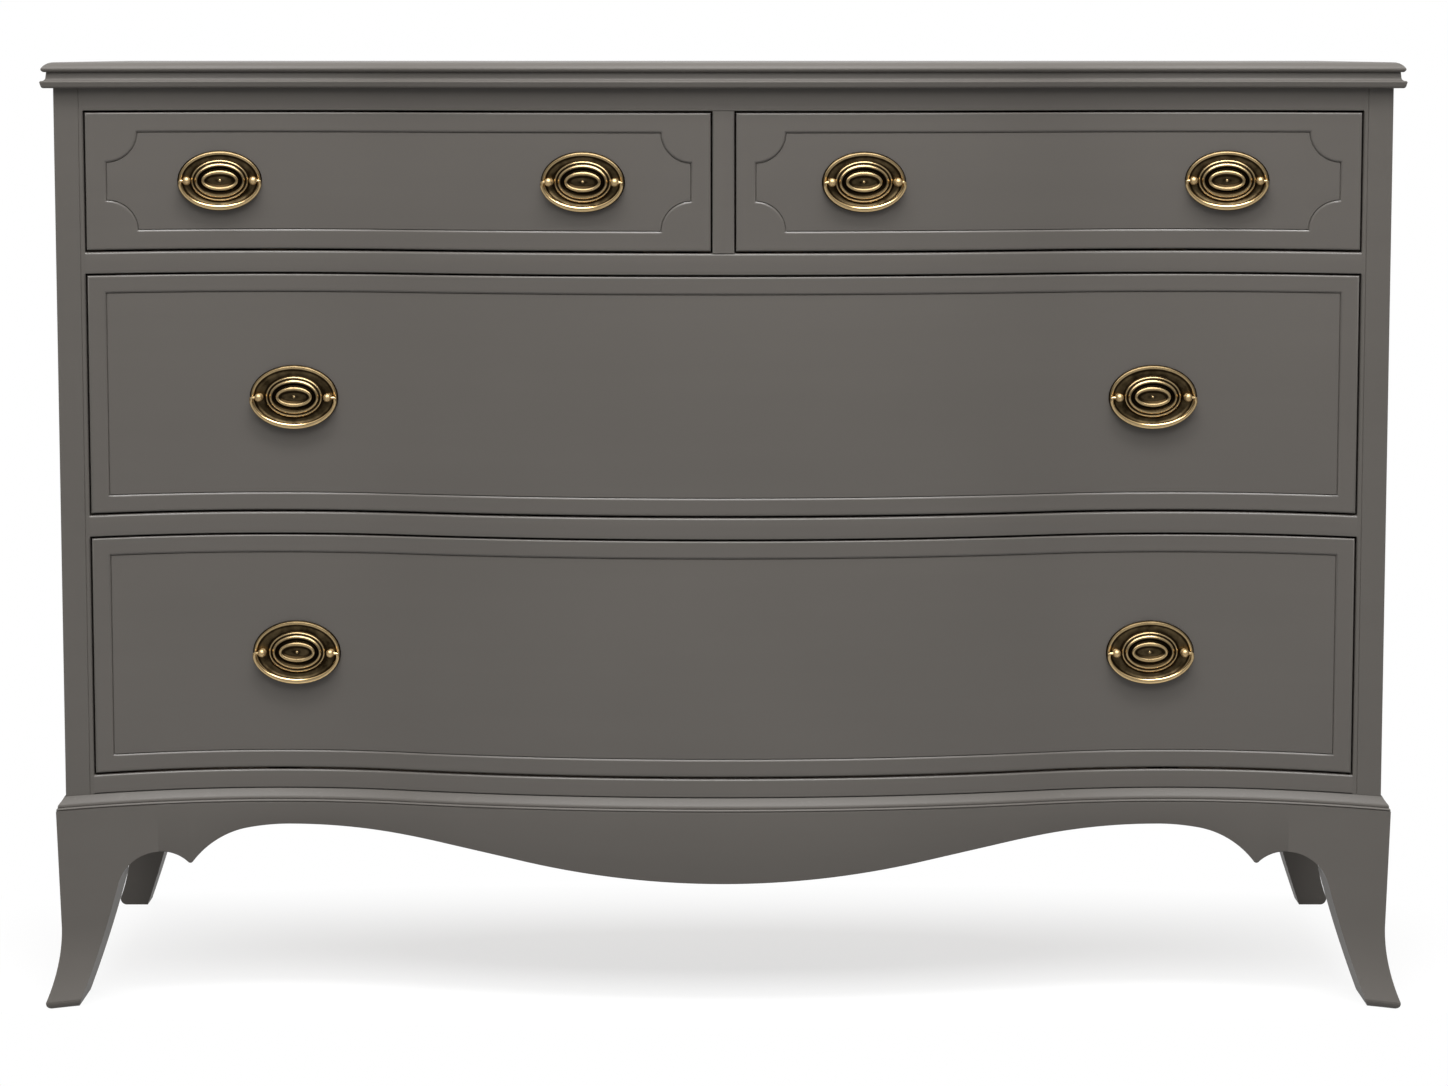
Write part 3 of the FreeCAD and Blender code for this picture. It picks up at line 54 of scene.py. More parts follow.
Material = bpy.types.Material


# Shared shader effects

class NodeBench:
    """Places shader nodes in one tree and links them."""

    def __init__(self, tree: Tree) -> None:
        """Work in one node tree.

        Args:
            tree: A material's tree or a group's tree.
        """
        self.tree = tree
        self.column = 0

    def add(self, kind: str, **settings: object) -> Node:
        """Add one node.

        Args:
            kind: Blender's name of the node type.
            **settings: Attributes to set on it.

        Returns:
            The new node.
        """
        node = self.tree.nodes.new(kind)
        node.location = (self.column * 180.0, 0.0)
        self.column += 1
        for name, value in settings.items():
            setattr(node, name, value)
        return node

    def feed(self, socket: Socket, source: object) -> None:
        """Give a socket a link or a value.

        Args:
            socket: The input socket.
            source: An output socket to link, or a plain value.
        """
        if isinstance(source, Socket):
            self.tree.links.new(source, socket)
        else:
            socket.default_value = source

    def math(self, operation: str, first: object, second: object = 0.0) -> Socket:
        """Add a math node.

        Args:
            operation: Blender's name of the operation.
            first: First value or link.
            second: Second value or link.

        Returns:
            The result socket.
        """
        node = self.add("ShaderNodeMath", operation=operation)
        self.feed(node.inputs[0], first)
        self.feed(node.inputs[1], second)
        return node.outputs[0]

    def remap(self, value: object, low: float, high: float, to_low: float = 0.0,
              to_high: float = 1.0) -> Socket:
        """Stretch a range of values to another, clamped.

        Args:
            value: The value or link.
            low: Start of the range.
            high: End of the range.
            to_low: Start of the new range.
            to_high: End of the new range.

        Returns:
            The result socket.
        """
        node = self.add("ShaderNodeMapRange")
        for index, source in enumerate((value, low, high, to_low, to_high)):
            self.feed(node.inputs[index], source)
        return node.outputs[0]

    def noise(self, vector: object, scale: float, detail: float = 3.0,
              roughness: float = 0.5) -> Socket:
        """Add a noise texture.

        Args:
            vector: Where it is read.
            scale: Its scale, per metre.
            detail: Its detail.
            roughness: Its roughness.

        Returns:
            The noise value from 0 to 1.
        """
        node = self.add("ShaderNodeTexNoise")
        self.feed(node.inputs["Vector"], vector)
        self.feed(node.inputs["Scale"], scale)
        self.feed(node.inputs["Detail"], detail)
        self.feed(node.inputs["Roughness"], roughness)
        return node.outputs["Fac"]

    def weigh(self, first: object, share: float, second: object, other_share: float) -> Socket:
        """Add two values, each times its share.

        Args:
            first: A value or link.
            share: The share of the first.
            second: A value or link.
            other_share: The share of the second.

        Returns:
            The sum.
        """
        return self.math("ADD", self.math("MULTIPLY", first, share),
                         self.math("MULTIPLY", second, other_share))

    def stretch(self, vector: object, scale: tuple[float, float, float]) -> Socket:
        """Scale a position along each axis.

        Args:
            vector: The position.
            scale: The scale along X, Y and Z.

        Returns:
            The stretched position.
        """
        node = self.add("ShaderNodeMapping")
        self.feed(node.inputs["Vector"], vector)
        self.feed(node.inputs["Scale"], scale)
        return node.outputs["Vector"]

    def mix(self, factor: object, first: object, second: object) -> Socket:
        """Mix two colours.

        Args:
            factor: How much of the second.
            first: A colour or link.
            second: A colour or link.

        Returns:
            The mixed colour.
        """
        node = self.add("ShaderNodeMix", data_type="RGBA")
        self.feed(node.inputs[0], factor)
        self.feed(node.inputs[6], first)
        self.feed(node.inputs[7], second)
        return node.outputs[2]


def new_group(name: str, inputs: Iterable[tuple[str, str, object]],
              outputs: Iterable[tuple[str, str]]) -> tuple[Tree, NodeBench]:
    """Start a shader node group.

    Args:
        name: The group's name.
        inputs: Name, socket type and default of each input.
        outputs: Name and socket type of each output.

    Returns:
        The group and a bench for its tree.
    """
    tree = bpy.data.node_groups.new(name, "ShaderNodeTree")
    for label, kind, value in inputs:
        socket = tree.interface.new_socket(label, in_out="INPUT", socket_type=kind)
        if value is not None:
            socket.default_value = value
    for label, kind in outputs:
        tree.interface.new_socket(label, in_out="OUTPUT", socket_type=kind)
    return tree, NodeBench(tree)


COLOUR = "NodeSocketColor"
NUMBER = "NodeSocketFloat"
VECTOR = "NodeSocketVector"

# Texture scales per metre, and how much each texture gives
PAINT_CLOUDS = 5.0
PAINT_TEXTURE = 500.0
LAP_STREAKS = (3.0, 3.0, 60.0)
CLOUD_SHARE = 0.7
TEXTURE_SHARE = 0.6
RUB_SCALE = 90.0
RUB_RANGE = (0.6, 0.72)
GRAIN_BEND = (1.6, 9.0, 9.0)
GRAIN_RINGS = (1.2, 28.0, 28.0)
GRAIN_PORES = (25.0, 900.0, 900.0)
RING_SHARE = 0.55
PORE_SHARE = 0.2
WOOD_ROUGHNESS = (0.55, 0.72)
PATINA_CLOUDS = 120.0
PATINA_SPECKS = 1500.0
PATINA_CLOUD_SHARE = 0.2
PATINA_SPECK_SHARE = 0.08
PATINA_RANGE = (0.1, 0.75)
DULLING = 0.22


def build_paint_film() -> Tree:
    """Rolled and brushed satin paint: slow drifts of tone, lap streaks and fine texture.

    Returns:
        The node group.
    """
    tree, bench = new_group(
        "paint_film",
        [("Vector", VECTOR, None), ("Paint", COLOUR, (0.1, 0.1, 0.1, 1.0)), ("Drift", NUMBER, 0.05)],
        [("Color", COLOUR), ("Height", NUMBER)])
    given = bench.add("NodeGroupInput")
    taken = bench.add("NodeGroupOutput")
    place = given.outputs["Vector"]
    clouds = bench.noise(place, PAINT_CLOUDS, detail=4.0)
    streaks = bench.noise(bench.stretch(place, LAP_STREAKS), 1.0, detail=4.0)
    texture = bench.noise(place, PAINT_TEXTURE, detail=1.0)
    tone = bench.weigh(clouds, CLOUD_SHARE, streaks, 1.0 - CLOUD_SHARE)
    shift = bench.math("MULTIPLY", bench.math("SUBTRACT", tone, 0.5), given.outputs["Drift"])
    bright = bench.add("ShaderNodeVectorMath", operation="SCALE")
    bench.feed(bright.inputs[0], given.outputs["Paint"])
    bench.feed(bright.inputs["Scale"], bench.math("ADD", bench.math("MULTIPLY", shift, 2.0), 1.0))
    height = bench.weigh(texture, TEXTURE_SHARE, streaks, 1.0 - TEXTURE_SHARE)
    bench.feed(taken.inputs["Color"], bright.outputs[0])
    bench.feed(taken.inputs["Height"], height)
    return tree


def build_scuffs() -> Tree:
    """Small rubs and specks that come with use, thicker towards one level.

    Returns:
        The node group.
    """
    tree, bench = new_group(
        "scuffs",
        [("Vector", VECTOR, None), ("Level", NUMBER, 0.0), ("Reach", NUMBER, 0.1),
         ("Amount", NUMBER, 0.5)],
        [("Mask", NUMBER)])
    given = bench.add("NodeGroupInput")
    taken = bench.add("NodeGroupOutput")
    split = bench.add("ShaderNodeSeparateXYZ")
    bench.feed(split.inputs[0], given.outputs["Vector"])
    away = bench.math("ABSOLUTE", bench.math("SUBTRACT", split.outputs["Z"], given.outputs["Level"]))
    near = bench.math("SUBTRACT", 1.0, bench.math("DIVIDE", away, given.outputs["Reach"]))
    near.node.use_clamp = True
    spots = bench.noise(given.outputs["Vector"], RUB_SCALE, detail=6.0, roughness=0.7)
    rubs = bench.remap(spots, *RUB_RANGE)
    mask = bench.math("MULTIPLY", bench.math("MULTIPLY", near, rubs), given.outputs["Amount"])
    bench.feed(taken.inputs["Mask"], mask)
    return tree


def build_wood_grain() -> Tree:
    """Growth rings and pores of a sawn board, running along the vector's X.

    Returns:
        The node group.
    """
    tree, bench = new_group(
        "wood_grain",
        [("Vector", VECTOR, None), ("Light", COLOUR, (0.6, 0.45, 0.3, 1.0)),
         ("Dark", COLOUR, (0.4, 0.27, 0.16, 1.0))],
        [("Color", COLOUR), ("Roughness", NUMBER), ("Height", NUMBER)])
    given = bench.add("NodeGroupInput")
    taken = bench.add("NodeGroupOutput")
    place = given.outputs["Vector"]
    bend = bench.noise(bench.stretch(place, GRAIN_BEND), 1.0)
    wave = bench.add("ShaderNodeTexWave", wave_type="BANDS", bands_direction="DIAGONAL")
    bench.feed(wave.inputs["Vector"], bench.stretch(place, GRAIN_RINGS))
    bench.feed(wave.inputs["Scale"], 1.0)
    bench.feed(wave.inputs["Distortion"], 5.0)
    bench.feed(wave.inputs["Detail"], 3.0)
    pores = bench.noise(bench.stretch(place, GRAIN_PORES), 1.0, detail=2.0)
    rings = bench.weigh(wave.outputs["Fac"], RING_SHARE, bend, 1.0 - RING_SHARE)
    dark = bench.weigh(rings, 1.0 - PORE_SHARE, pores, PORE_SHARE)
    bench.feed(taken.inputs["Color"], bench.mix(dark, given.outputs["Light"], given.outputs["Dark"]))
    bench.feed(taken.inputs["Roughness"], bench.remap(dark, 0.2, 0.8, *WOOD_ROUGHNESS))
    bench.feed(taken.inputs["Height"], bench.math("MULTIPLY", pores, -1.0))
    return tree


def build_patina() -> Tree:
    """Aged brass: bright where hands rub it, brown where they don't reach.

    Returns:
        The node group.
    """
    tree, bench = new_group(
        "patina",
        [("Vector", VECTOR, None), ("Bright", COLOUR, (0.8, 0.6, 0.3, 1.0)),
         ("Dark", COLOUR, (0.08, 0.05, 0.02, 1.0)), ("Age", NUMBER, 0.5), ("Dullness", NUMBER, 0.2)],
        [("Color", COLOUR), ("Roughness", NUMBER), ("Height", NUMBER)])
    given = bench.add("NodeGroupInput")
    taken = bench.add("NodeGroupOutput")
    place = given.outputs["Vector"]
    cloud = bench.math("SUBTRACT", bench.noise(place, PATINA_CLOUDS), 0.5)
    speck = bench.math("SUBTRACT", bench.noise(place, PATINA_SPECKS), 0.5)
    uneven = bench.weigh(cloud, PATINA_CLOUD_SHARE, speck, PATINA_SPECK_SHARE)
    age = bench.remap(bench.math("ADD", given.outputs["Age"], uneven), *PATINA_RANGE)
    bench.feed(taken.inputs["Color"], bench.mix(age, given.outputs["Bright"], given.outputs["Dark"]))
    dulled = bench.math("ADD", bench.math("MULTIPLY", age, DULLING), given.outputs["Dullness"])
    bench.feed(taken.inputs["Roughness"], dulled)
    bench.feed(taken.inputs["Height"], speck)
    return tree


class EffectShelf:
    """The shared node groups, each built once."""

    def __init__(self) -> None:
        """Build every group."""
        self.paint_film = build_paint_film()
        self.scuffs = build_scuffs()
        self.wood_grain = build_wood_grain()
        self.patina = build_patina()


# Finishes

class GrainAxis(Enum):
    """Which way the grain of a board runs."""

    ALONG = (0.0, 0.0, 0.0)
    DEEP = (0.0, 0.0, math.pi / 2)
    UPRIGHT = (0.0, math.pi / 2, 0.0)


def new_surface(name: str) -> tuple[Material, NodeBench, Node, Socket]:
    """Start a material with a Principled shader.

    Args:
        name: The material's name.

    Returns:
        The material, its bench, its shader and its object position.
    """
    material = bpy.data.materials.new(name)
    material.use_nodes = True
    bench = NodeBench(material.node_tree)
    shader = material.node_tree.nodes["Principled BSDF"]
    place = bench.add("ShaderNodeTexCoord").outputs["Object"]
    return material, bench, shader, place


def use_group(bench: NodeBench, tree: Tree, **values: object) -> Node:
    """Place a shared group and set its inputs.

    Args:
        bench: The material's bench.
        tree: The group.
        **values: Inputs by name, with spaces written as underscores.

    Returns:
        The group node.
    """
    node = bench.add("ShaderNodeGroup", node_tree=tree)
    for name, value in values.items():
        bench.feed(node.inputs[name.replace("_", " ")], value)
    return node


def use_outputs(bench: NodeBench, shader: Node, effect: Node) -> None:
    """Give a shader the colour and the roughness of an effect."""
    bench.feed(shader.inputs["Base Color"], effect.outputs["Color"])
    bench.feed(shader.inputs["Roughness"], effect.outputs["Roughness"])


def bump(bench: NodeBench, shader: Node, height: Socket, strength: float, distance: float) -> None:
    """Give a shader a bumped normal.

    Args:
        bench: The material's bench.
        shader: The shader that takes the normal.
        height: The height.
        strength: How strongly it shows.
        distance: The height of a full step, in metres.
    """
    node = bench.add("ShaderNodeBump")
    node.inputs["Strength"].default_value = strength
    node.inputs["Distance"].default_value = distance
    bench.feed(node.inputs["Height"], height)
    bench.feed(shader.inputs["Normal"], node.outputs["Normal"])


def opaque(colour: Colour) -> tuple[float, float, float, float]:
    """A colour with full alpha."""
    return (*colour, 1.0)


@dataclass(frozen=True)
class SatinPaint:
    """Satin paint over wood."""

    name: str
    colour: Colour = (0.1045, 0.0955, 0.086)
    drift: float = 0.10
    roughness: float = 0.28
    scuff_level: float = 0.0
    scuff_reach: float = 0.06
    scuff_amount: float = 0.0
    scuff_light: float = 1.7
    shine: float = 0.4

    def make(self, shelf: EffectShelf) -> Material:
        """Build the material.

        Args:
            shelf: The shared effects.

        Returns:
            The material.
        """
        material, bench, shader, place = new_surface(self.name)
        film = use_group(bench, shelf.paint_film, Vector=place, Paint=opaque(self.colour),
                         Drift=self.drift)
        colour = film.outputs["Color"]
        if self.scuff_amount:
            scuff = use_group(bench, shelf.scuffs, Vector=place, Level=self.scuff_level,
                              Reach=self.scuff_reach, Amount=self.scuff_amount)
            rubbed = opaque(tuple(min(1.0, part * self.scuff_light) for part in self.colour))
            colour = bench.mix(scuff.outputs["Mask"], colour, rubbed)
        bench.feed(shader.inputs["Base Color"], colour)
        shader.inputs["Roughness"].default_value = self.roughness
        shader.inputs["Specular IOR Level"].default_value = self.shine
        bump(bench, shader, film.outputs["Height"], strength=0.02, distance=0.0002)
        return material


@dataclass(frozen=True)
class BareWood:
    """Unpainted wood of the inner work."""

    name: str
    axis: GrainAxis
    light: Colour = (0.56, 0.40, 0.25)
    dark: Colour = (0.36, 0.23, 0.13)

    def make(self, shelf: EffectShelf) -> Material:
        """Build the material.

        Args:
            shelf: The shared effects.

        Returns:
            The material.
        """
        material, bench, shader, place = new_surface(self.name)
        turn = bench.add("ShaderNodeMapping")
        bench.feed(turn.inputs["Vector"], place)
        bench.feed(turn.inputs["Rotation"], self.axis.value)
        grain = use_group(bench, shelf.wood_grain, Vector=turn.outputs["Vector"],
                          Light=opaque(self.light), Dark=opaque(self.dark))
        use_outputs(bench, shader, grain)
        bump(bench, shader, grain.outputs["Height"], strength=0.3, distance=0.0003)
        return material


@dataclass(frozen=True)
class AgedBrass:
    """Brass that has browned in its recesses."""

    name: str
    bright: Colour = (0.74, 0.54, 0.28)
    dark: Colour = (0.018, 0.0115, 0.005)
    age: float = 0.2
    dullness: float = 0.13
    reads_wear: bool = False

    def make(self, shelf: EffectShelf) -> Material:
        """Build the material.

        Args:
            shelf: The shared effects.

        Returns:
            The material.
        """
        material, bench, shader, place = new_surface(self.name)
        age: object = self.age
        if self.reads_wear:
            age = bench.add("ShaderNodeAttribute", attribute_name="age").outputs["Fac"]
        metal = use_group(bench, shelf.patina, Vector=place, Bright=opaque(self.bright),
                          Dark=opaque(self.dark), Age=age, Dullness=self.dullness)
        use_outputs(bench, shader, metal)
        shader.inputs["Metallic"].default_value = 1.0
        bump(bench, shader, metal.outputs["Height"], strength=0.02, distance=0.0001)
        return material


@dataclass(frozen=True)
class PlatedSteel:
    """Zinc-plated screws."""

    name: str
    bright: Colour = (0.62, 0.62, 0.6)
    dark: Colour = (0.3, 0.3, 0.29)
    age: float = 0.25

    def make(self, shelf: EffectShelf) -> Material:
        """Build the material.

        Args:
            shelf: The shared effects.

        Returns:
            The material.
        """
        material, bench, shader, place = new_surface(self.name)
        metal = use_group(bench, shelf.patina, Vector=place, Bright=opaque(self.bright),
                          Dark=opaque(self.dark), Age=self.age)
        use_outputs(bench, shader, metal)
        shader.inputs["Metallic"].default_value = 1.0
        return material


class Palette:
    """Every finish of the dresser, built once."""

    def __init__(self, shelf: EffectShelf) -> None:
        """Build the materials.

        Args:
            shelf: The shared effects.
        """
        self.case_paint = SatinPaint("case_paint").make(shelf)
        # The posts get a darker copy of the case paint: painted shade for the light falling off towards the
        # sides of the case.
        self.shaded_post_paint = SatinPaint("shaded_post_paint", (0.101, 0.0925, 0.083), roughness=0.31).make(shelf)
        self.moulding_paint = SatinPaint("moulding_paint", roughness=0.43, shine=0.25, scuff_level=0.196,
                                         scuff_reach=0.012, scuff_amount=0.35).make(shelf)
        self.foot_paint = SatinPaint("foot_paint", roughness=0.54, shine=0.3, scuff_reach=0.05,
                                     scuff_amount=0.35).make(shelf)
        self.wood_along = BareWood("poplar_along", GrainAxis.ALONG).make(shelf)
        self.wood_deep = BareWood("poplar_deep", GrainAxis.DEEP).make(shelf)
        self.back_wood = BareWood("back_board_wood", GrainAxis.UPRIGHT, (0.42, 0.29, 0.18),
                                  (0.26, 0.16, 0.09)).make(shelf)
        self.worn_brass = AgedBrass("worn_brass", reads_wear=True).make(shelf)
        self.rod_brass = AgedBrass("rod_brass", age=0.15).make(shelf)
        self.ball_brass = AgedBrass("ball_brass", age=0.2, dullness=0.42).make(shelf)
        self.steel = PlatedSteel("plated_steel").make(shelf)


# Shared shapes

@dataclass(frozen=True)
class SerpentineLine:
    """Plan of the front in millimetres: a convex belly between two hollows."""

    belly_radius: float = 1129.0
    hollow_radius: float = 450.0
    hollow_place: float = 424.0
    case_half: float = 624.0
    case_depth: float = 515.0
    top_back_overhang: float = 8.0
    toe_tip: float = 641.1
    toe_proud: float = 20.1

    def hollow_centre(self) -> float:
        """Y of the centre of each hollow, from the crown of the belly."""
        apart = self.belly_radius + self.hollow_radius
        return self.belly_radius - math.sqrt(apart * apart - self.hollow_place * self.hollow_place)

    def local_y(self, x: float, proud: float) -> float:
        """Y of the line from the crown of the belly.

        Args:
            x: Distance from the centre line.
            proud: How far the surface stands in front of the case.

        Returns:
            The depth behind the crown.
        """
        radius = self.belly_radius + proud
        if abs(x) < self.hollow_place * radius / (self.belly_radius + self.hollow_radius):
            return self.belly_radius - math.sqrt(radius * radius - x * x)
        radius = self.hollow_radius - proud
        out = abs(x) - self.hollow_place
        return self.hollow_centre() + math.sqrt(radius * radius - out * out)

    def shift(self) -> float:
        """How far the frame moves the crown of the belly along Y."""
        toe_front = self.local_y(self.toe_tip, self.toe_proud)
        return -(toe_front + self.case_depth + self.top_back_overhang) / 2

    def y(self, x: float, proud: float) -> float:
        """Y of the line in the frame.

        Args:
            x: Distance from the centre line.
            proud: How far the surface stands in front of the case.

        Returns:
            Y in millimetres.
        """
        return self.local_y(x, proud) + self.shift()

    def behind(self, depth: float) -> float:
        """Y in the frame of a plane behind the crown of the belly."""
        return depth + self.shift()


LINE = SerpentineLine()

# Sides of an arc's centre, seen along the path
LEFT = 1
RIGHT = -1

# Top of the feet, and how far the base stands out from the case, in millimetres
LEG_HEIGHT = 187.4
BASE_PROJECTION = 7.6

# Lower and upper edge of each rail
BOTTOM_RAIL = (LEG_HEIGHT, 218.4)
LOWER_DIVIDER = (446.4, 466.7)
UPPER_DIVIDER = (694.7, 715.0)
TOP_RAIL = (847.0, 868.0)

# Half the opening between the posts, and how far behind the crown the rails and the stile end
POST_INNER = 598.5
INNER_BACK = 118.0

# The height over which an edge turns from crisp to soft, and the radius of a crisp one
SOFT_FADE = 1.5
CRISP = 0.02

# Distance between points along the front, and how far apart two mitred lengths stand
FRONT_PITCH = 8.0
MITRE_GAP = 0.01


def sample_outline(corners: Sequence[Corner], steps: int = 8) -> list[Flat]:
    """Follow a chain of lines and arcs.

    Args:
        corners: Each corner's two coordinates, and where an arc leaves it, the arc's radius and
            the side of its centre.
        steps: Points along each arc.

    Returns:
        The points in order.
    """
    path: list[Flat] = []
    for corner, following in zip(corners, corners[1:]):
        start = Vector(corner[:2])
        end = Vector(following[:2])
        if len(corner) == 2:
            path.append((start.x, start.y))
            continue
        radius, side = corner[2], corner[3]
        run = end - start
        reach = math.sqrt(radius * radius - run.length_squared / 4) / run.length
        centre = (start + end) / 2 + Vector((-run.y, run.x)) * reach * side
        first = math.atan2(start.y - centre.y, start.x - centre.x)
        last = math.atan2(end.y - centre.y, end.x - centre.x)
        sweep = (last - first) * side % math.tau * side
        for step in range(steps):
            angle = first + sweep * step / steps
            path.append((centre.x + radius * math.cos(angle), centre.y + radius * math.sin(angle)))
    path.append((corners[-1][0], corners[-1][1]))
    return path


def spread(start: float, end: float, pitch: float) -> list[float]:
    """Evenly spaced places from one value to another, about a pitch apart."""
    count = max(1, round(abs(end - start) / pitch))
    return [start + (end - start) * index / count for index in range(count + 1)]


def quarter_round(radius: float, steps: int = 4) -> list[Flat]:
    """A rounded edge, as distances from the sharp corner along its two faces.

    Args:
        radius: Its radius.
        steps: Steps along it.

    Returns:
        The points, from the one furthest along the second face to the one furthest along the first.
    """
    turn = math.pi / 2 / steps
    return [(radius * (1 - math.cos(turn * step)), radius * (1 - math.sin(turn * step)))
            for step in range(steps + 1)]


def section_at(x: float, section: Sequence[Flat]) -> Row:
    """An upright section on the serpentine line, from how far out and how high its points are."""
    return [Vector((x, LINE.y(x, out), height)) for out, height in section]


def plan_at(height: float, plan: Sequence[Flat], back: float) -> Row:
    """A level outline on the serpentine line, closed by a straight back.

    Args:
        height: Its height.
        plan: Distance of its points from the centre line and behind the face of the case.
        back: How far behind the crown of the belly its back is.

    Returns:
        Its points.
    """
    front = [Vector((x, LINE.y(x, -behind), height)) for x, behind in plan]
    return front + [Vector((plan[end][0], LINE.behind(back), height)) for end in (-1, 0)]


class MeshMaker:
    """Collects faces in millimetres and turns them into a piece in metres."""

    def __init__(self) -> None:
        """Start empty."""
        self.vertices: list[Vector] = []
        self.ages: list[float] = []
        self.faces: list[tuple[int, ...]] = []

    def points(self, row: Sequence[Vector], age: float = 0.0) -> list[int]:
        """Add points.

        Args:
            row: The points.
            age: How browned the metal is there.

        Returns:
            Their numbers.
        """
        start = len(self.vertices)
        self.vertices.extend(row)
        self.ages.extend([age] * len(row))
        return list(range(start, len(self.vertices)))

    def bridge(self, first: list[int], second: list[int], closed: bool) -> None:
        """Join two rows of equal length with quads.

        Args:
            first: Numbers of the first row.
            second: Numbers of the second row.
            closed: Whether the rows are loops.
        """
        count = len(first)
        for index in range(count if closed else count - 1):
            following = (index + 1) % count
            self.faces.append((first[index], first[following], second[following], second[index]))

    def tube(self, rows: Sequence[Row], ages: Sequence[float] | None = None) -> None:
        """Join loops one after another and close both ends.

        Args:
            rows: The loops.
            ages: How browned the metal is at each loop.
        """
        numbers = [self.points(row, ages[index] if ages else 0.0) for index, row in enumerate(rows)]
        for first, second in zip(numbers, numbers[1:]):
            self.bridge(first, second, True)
        self.faces.append(tuple(reversed(numbers[0])))
        self.faces.append(tuple(numbers[-1]))

    def lid(self, row: list[int]) -> None:
        """Close a loop with one face."""
        self.faces.append(tuple(row))

    def bend(self, pitch: float) -> None:
        """Cut flat work into upright strips and bend it to the serpentine line.

        Flat work has the distance behind the face of the case as its Y.

        Args:
            pitch: Width of the strips.
        """
        work = bmesh.new()
        points = [work.verts.new(point) for point in self.vertices]
        for face in self.faces:
            work.faces.new([points[number] for number in face])
        low = min(point.x for point in self.vertices)
        high = max(point.x for point in self.vertices)
        for place in spread(low, high, pitch)[1:-1]:
            bmesh.ops.bisect_plane(work, geom=work.verts[:] + work.edges[:] + work.faces[:],
                                   dist=0.01, plane_co=(place, 0, 0), plane_no=(1, 0, 0))
        work.verts.index_update()
        self.vertices = [Vector((v.co.x, LINE.y(v.co.x, -v.co.y), v.co.z)) for v in work.verts]
        self.ages = [0.0] * len(self.vertices)
        self.faces = [tuple(v.index for v in face.verts) for face in work.faces]
        work.free()

    def placed(self, matrix: Matrix, other: "MeshMaker") -> None:
        """Add another maker's faces, moved.

        Args:
            matrix: How they are moved, in millimetres.
            other: The maker to copy from.
        """
        start = len(self.vertices)
        self.vertices.extend(matrix @ point for point in other.vertices)
        self.ages.extend(other.ages)
        self.faces.extend(tuple(number + start for number in face) for face in other.faces)

    def piece(self, name: str, body: str, material: Material, node: str,
              sharp: float = 40.0) -> None:
        """Make the piece and fit it to the frame.

        Args:
            name: The piece's name.
            body: The body it rides on.
            material: Its finish.
            node: The CAD node that it stands for.
            sharp: Edges turning by more degrees than this stay crisp.
        """
        mesh = bpy.data.meshes.new(name)
        mesh.from_pydata([point * MM for point in self.vertices], [], self.faces)
        mesh.validate()
        work = bmesh.new()
        work.from_mesh(mesh)
        bmesh.ops.recalc_face_normals(work, faces=work.faces)
        work.to_mesh(mesh)
        work.free()
        if any(self.ages) and len(mesh.vertices) == len(self.ages):
            layer = mesh.attributes.new("age", "FLOAT", "POINT")
            layer.data.foreach_set("value", self.ages)
        mesh.polygons.foreach_set("use_smooth", [True] * len(mesh.polygons))
        mesh.set_sharp_from_angle(angle=math.radians(sharp))
        mesh.materials.append(material)
        item = bpy.data.objects.new(name, mesh)
        bpy.context.scene.collection.objects.link(item)
        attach(item, body)
        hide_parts(node)
        LOG.info("%s: %d faces", name, len(self.faces))


def dress(material: Material, *nodes: str) -> None:
    """Give CAD nodes their finish.

    Args:
        material: The finish.
        *nodes: The nodes' names.
    """
    for node in nodes:
        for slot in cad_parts[node].material_slots:
            slot.material = material
        LOG.info("%s: %s", node, material.name)


def oval(half_long: float, half_tall: float, out: float, count: int) -> Row:
    """An upright oval, standing out along -Y.

    Args:
        half_long: Half its length along X.
        half_tall: Half its height.
        out: How far out it stands.
        count: How many points.

    Returns:
        The points in order.
    """
    turns = [math.tau / count * step for step in range(count)]
    return [Vector((half_long * math.cos(turn), -out, half_tall * math.sin(turn))) for turn in turns]


def smooth_chain(stations: Sequence[Sequence[float]], steps: int) -> list[list[float]]:
    """Round off a chain of stations so that it passes through all of them.

    Args:
        stations: The stations, each a list of numbers.
        steps: How many steps between neighbours.

    Returns:
        The longer chain.
    """
    chain: list[list[float]] = []
    last = len(stations) - 1
    for index in range(last):
        before = stations[max(index - 1, 0)]
        after = stations[min(index + 2, last)]
        nearby = list(zip(before, stations[index], stations[index + 1], after))
        for step in range(steps):
            t = step / steps
            chain.append([
                0.5 * (2 * b + (c - a) * t + (2 * a - 5 * b + 4 * c - d) * t * t
                       + (3 * b - a - 3 * c + d) * t ** 3)
                for a, b, c, d in nearby])
    chain.append(list(stations[last]))
    return chain


# Pulls

@dataclass(frozen=True)
class PullSizes:
    """An oval bail pull, in millimetres."""

    plate_width: float
    plate_height: float
    post_spread: float
    standoff: float = 9.0
    ball_radius: float = 3.9
    collar_radius: float = 3.6
    shank_radius: float = 2.2
    pin_radius: float = 1.25
    rod_radius: float = 1.65
    rod_swell: float = 0.9
    rod_depth: float = 1.9
    side_inset: float = 1.7
    foot_inset: float = 2.6
    rim_height: float = 2.6
    rest_gap: float = 0.35
    pin_buried: float = 1.0
    pin_length: float = 3.0
    shank_past: float = 6.0
    shank_arris: float = 0.3
    nut_radius: float = 4.6
    nut_height: float = 3.6
    nut_arris: float = 0.5
    nut_sunk: float = 0.4
    front_thickness: float = 20.0


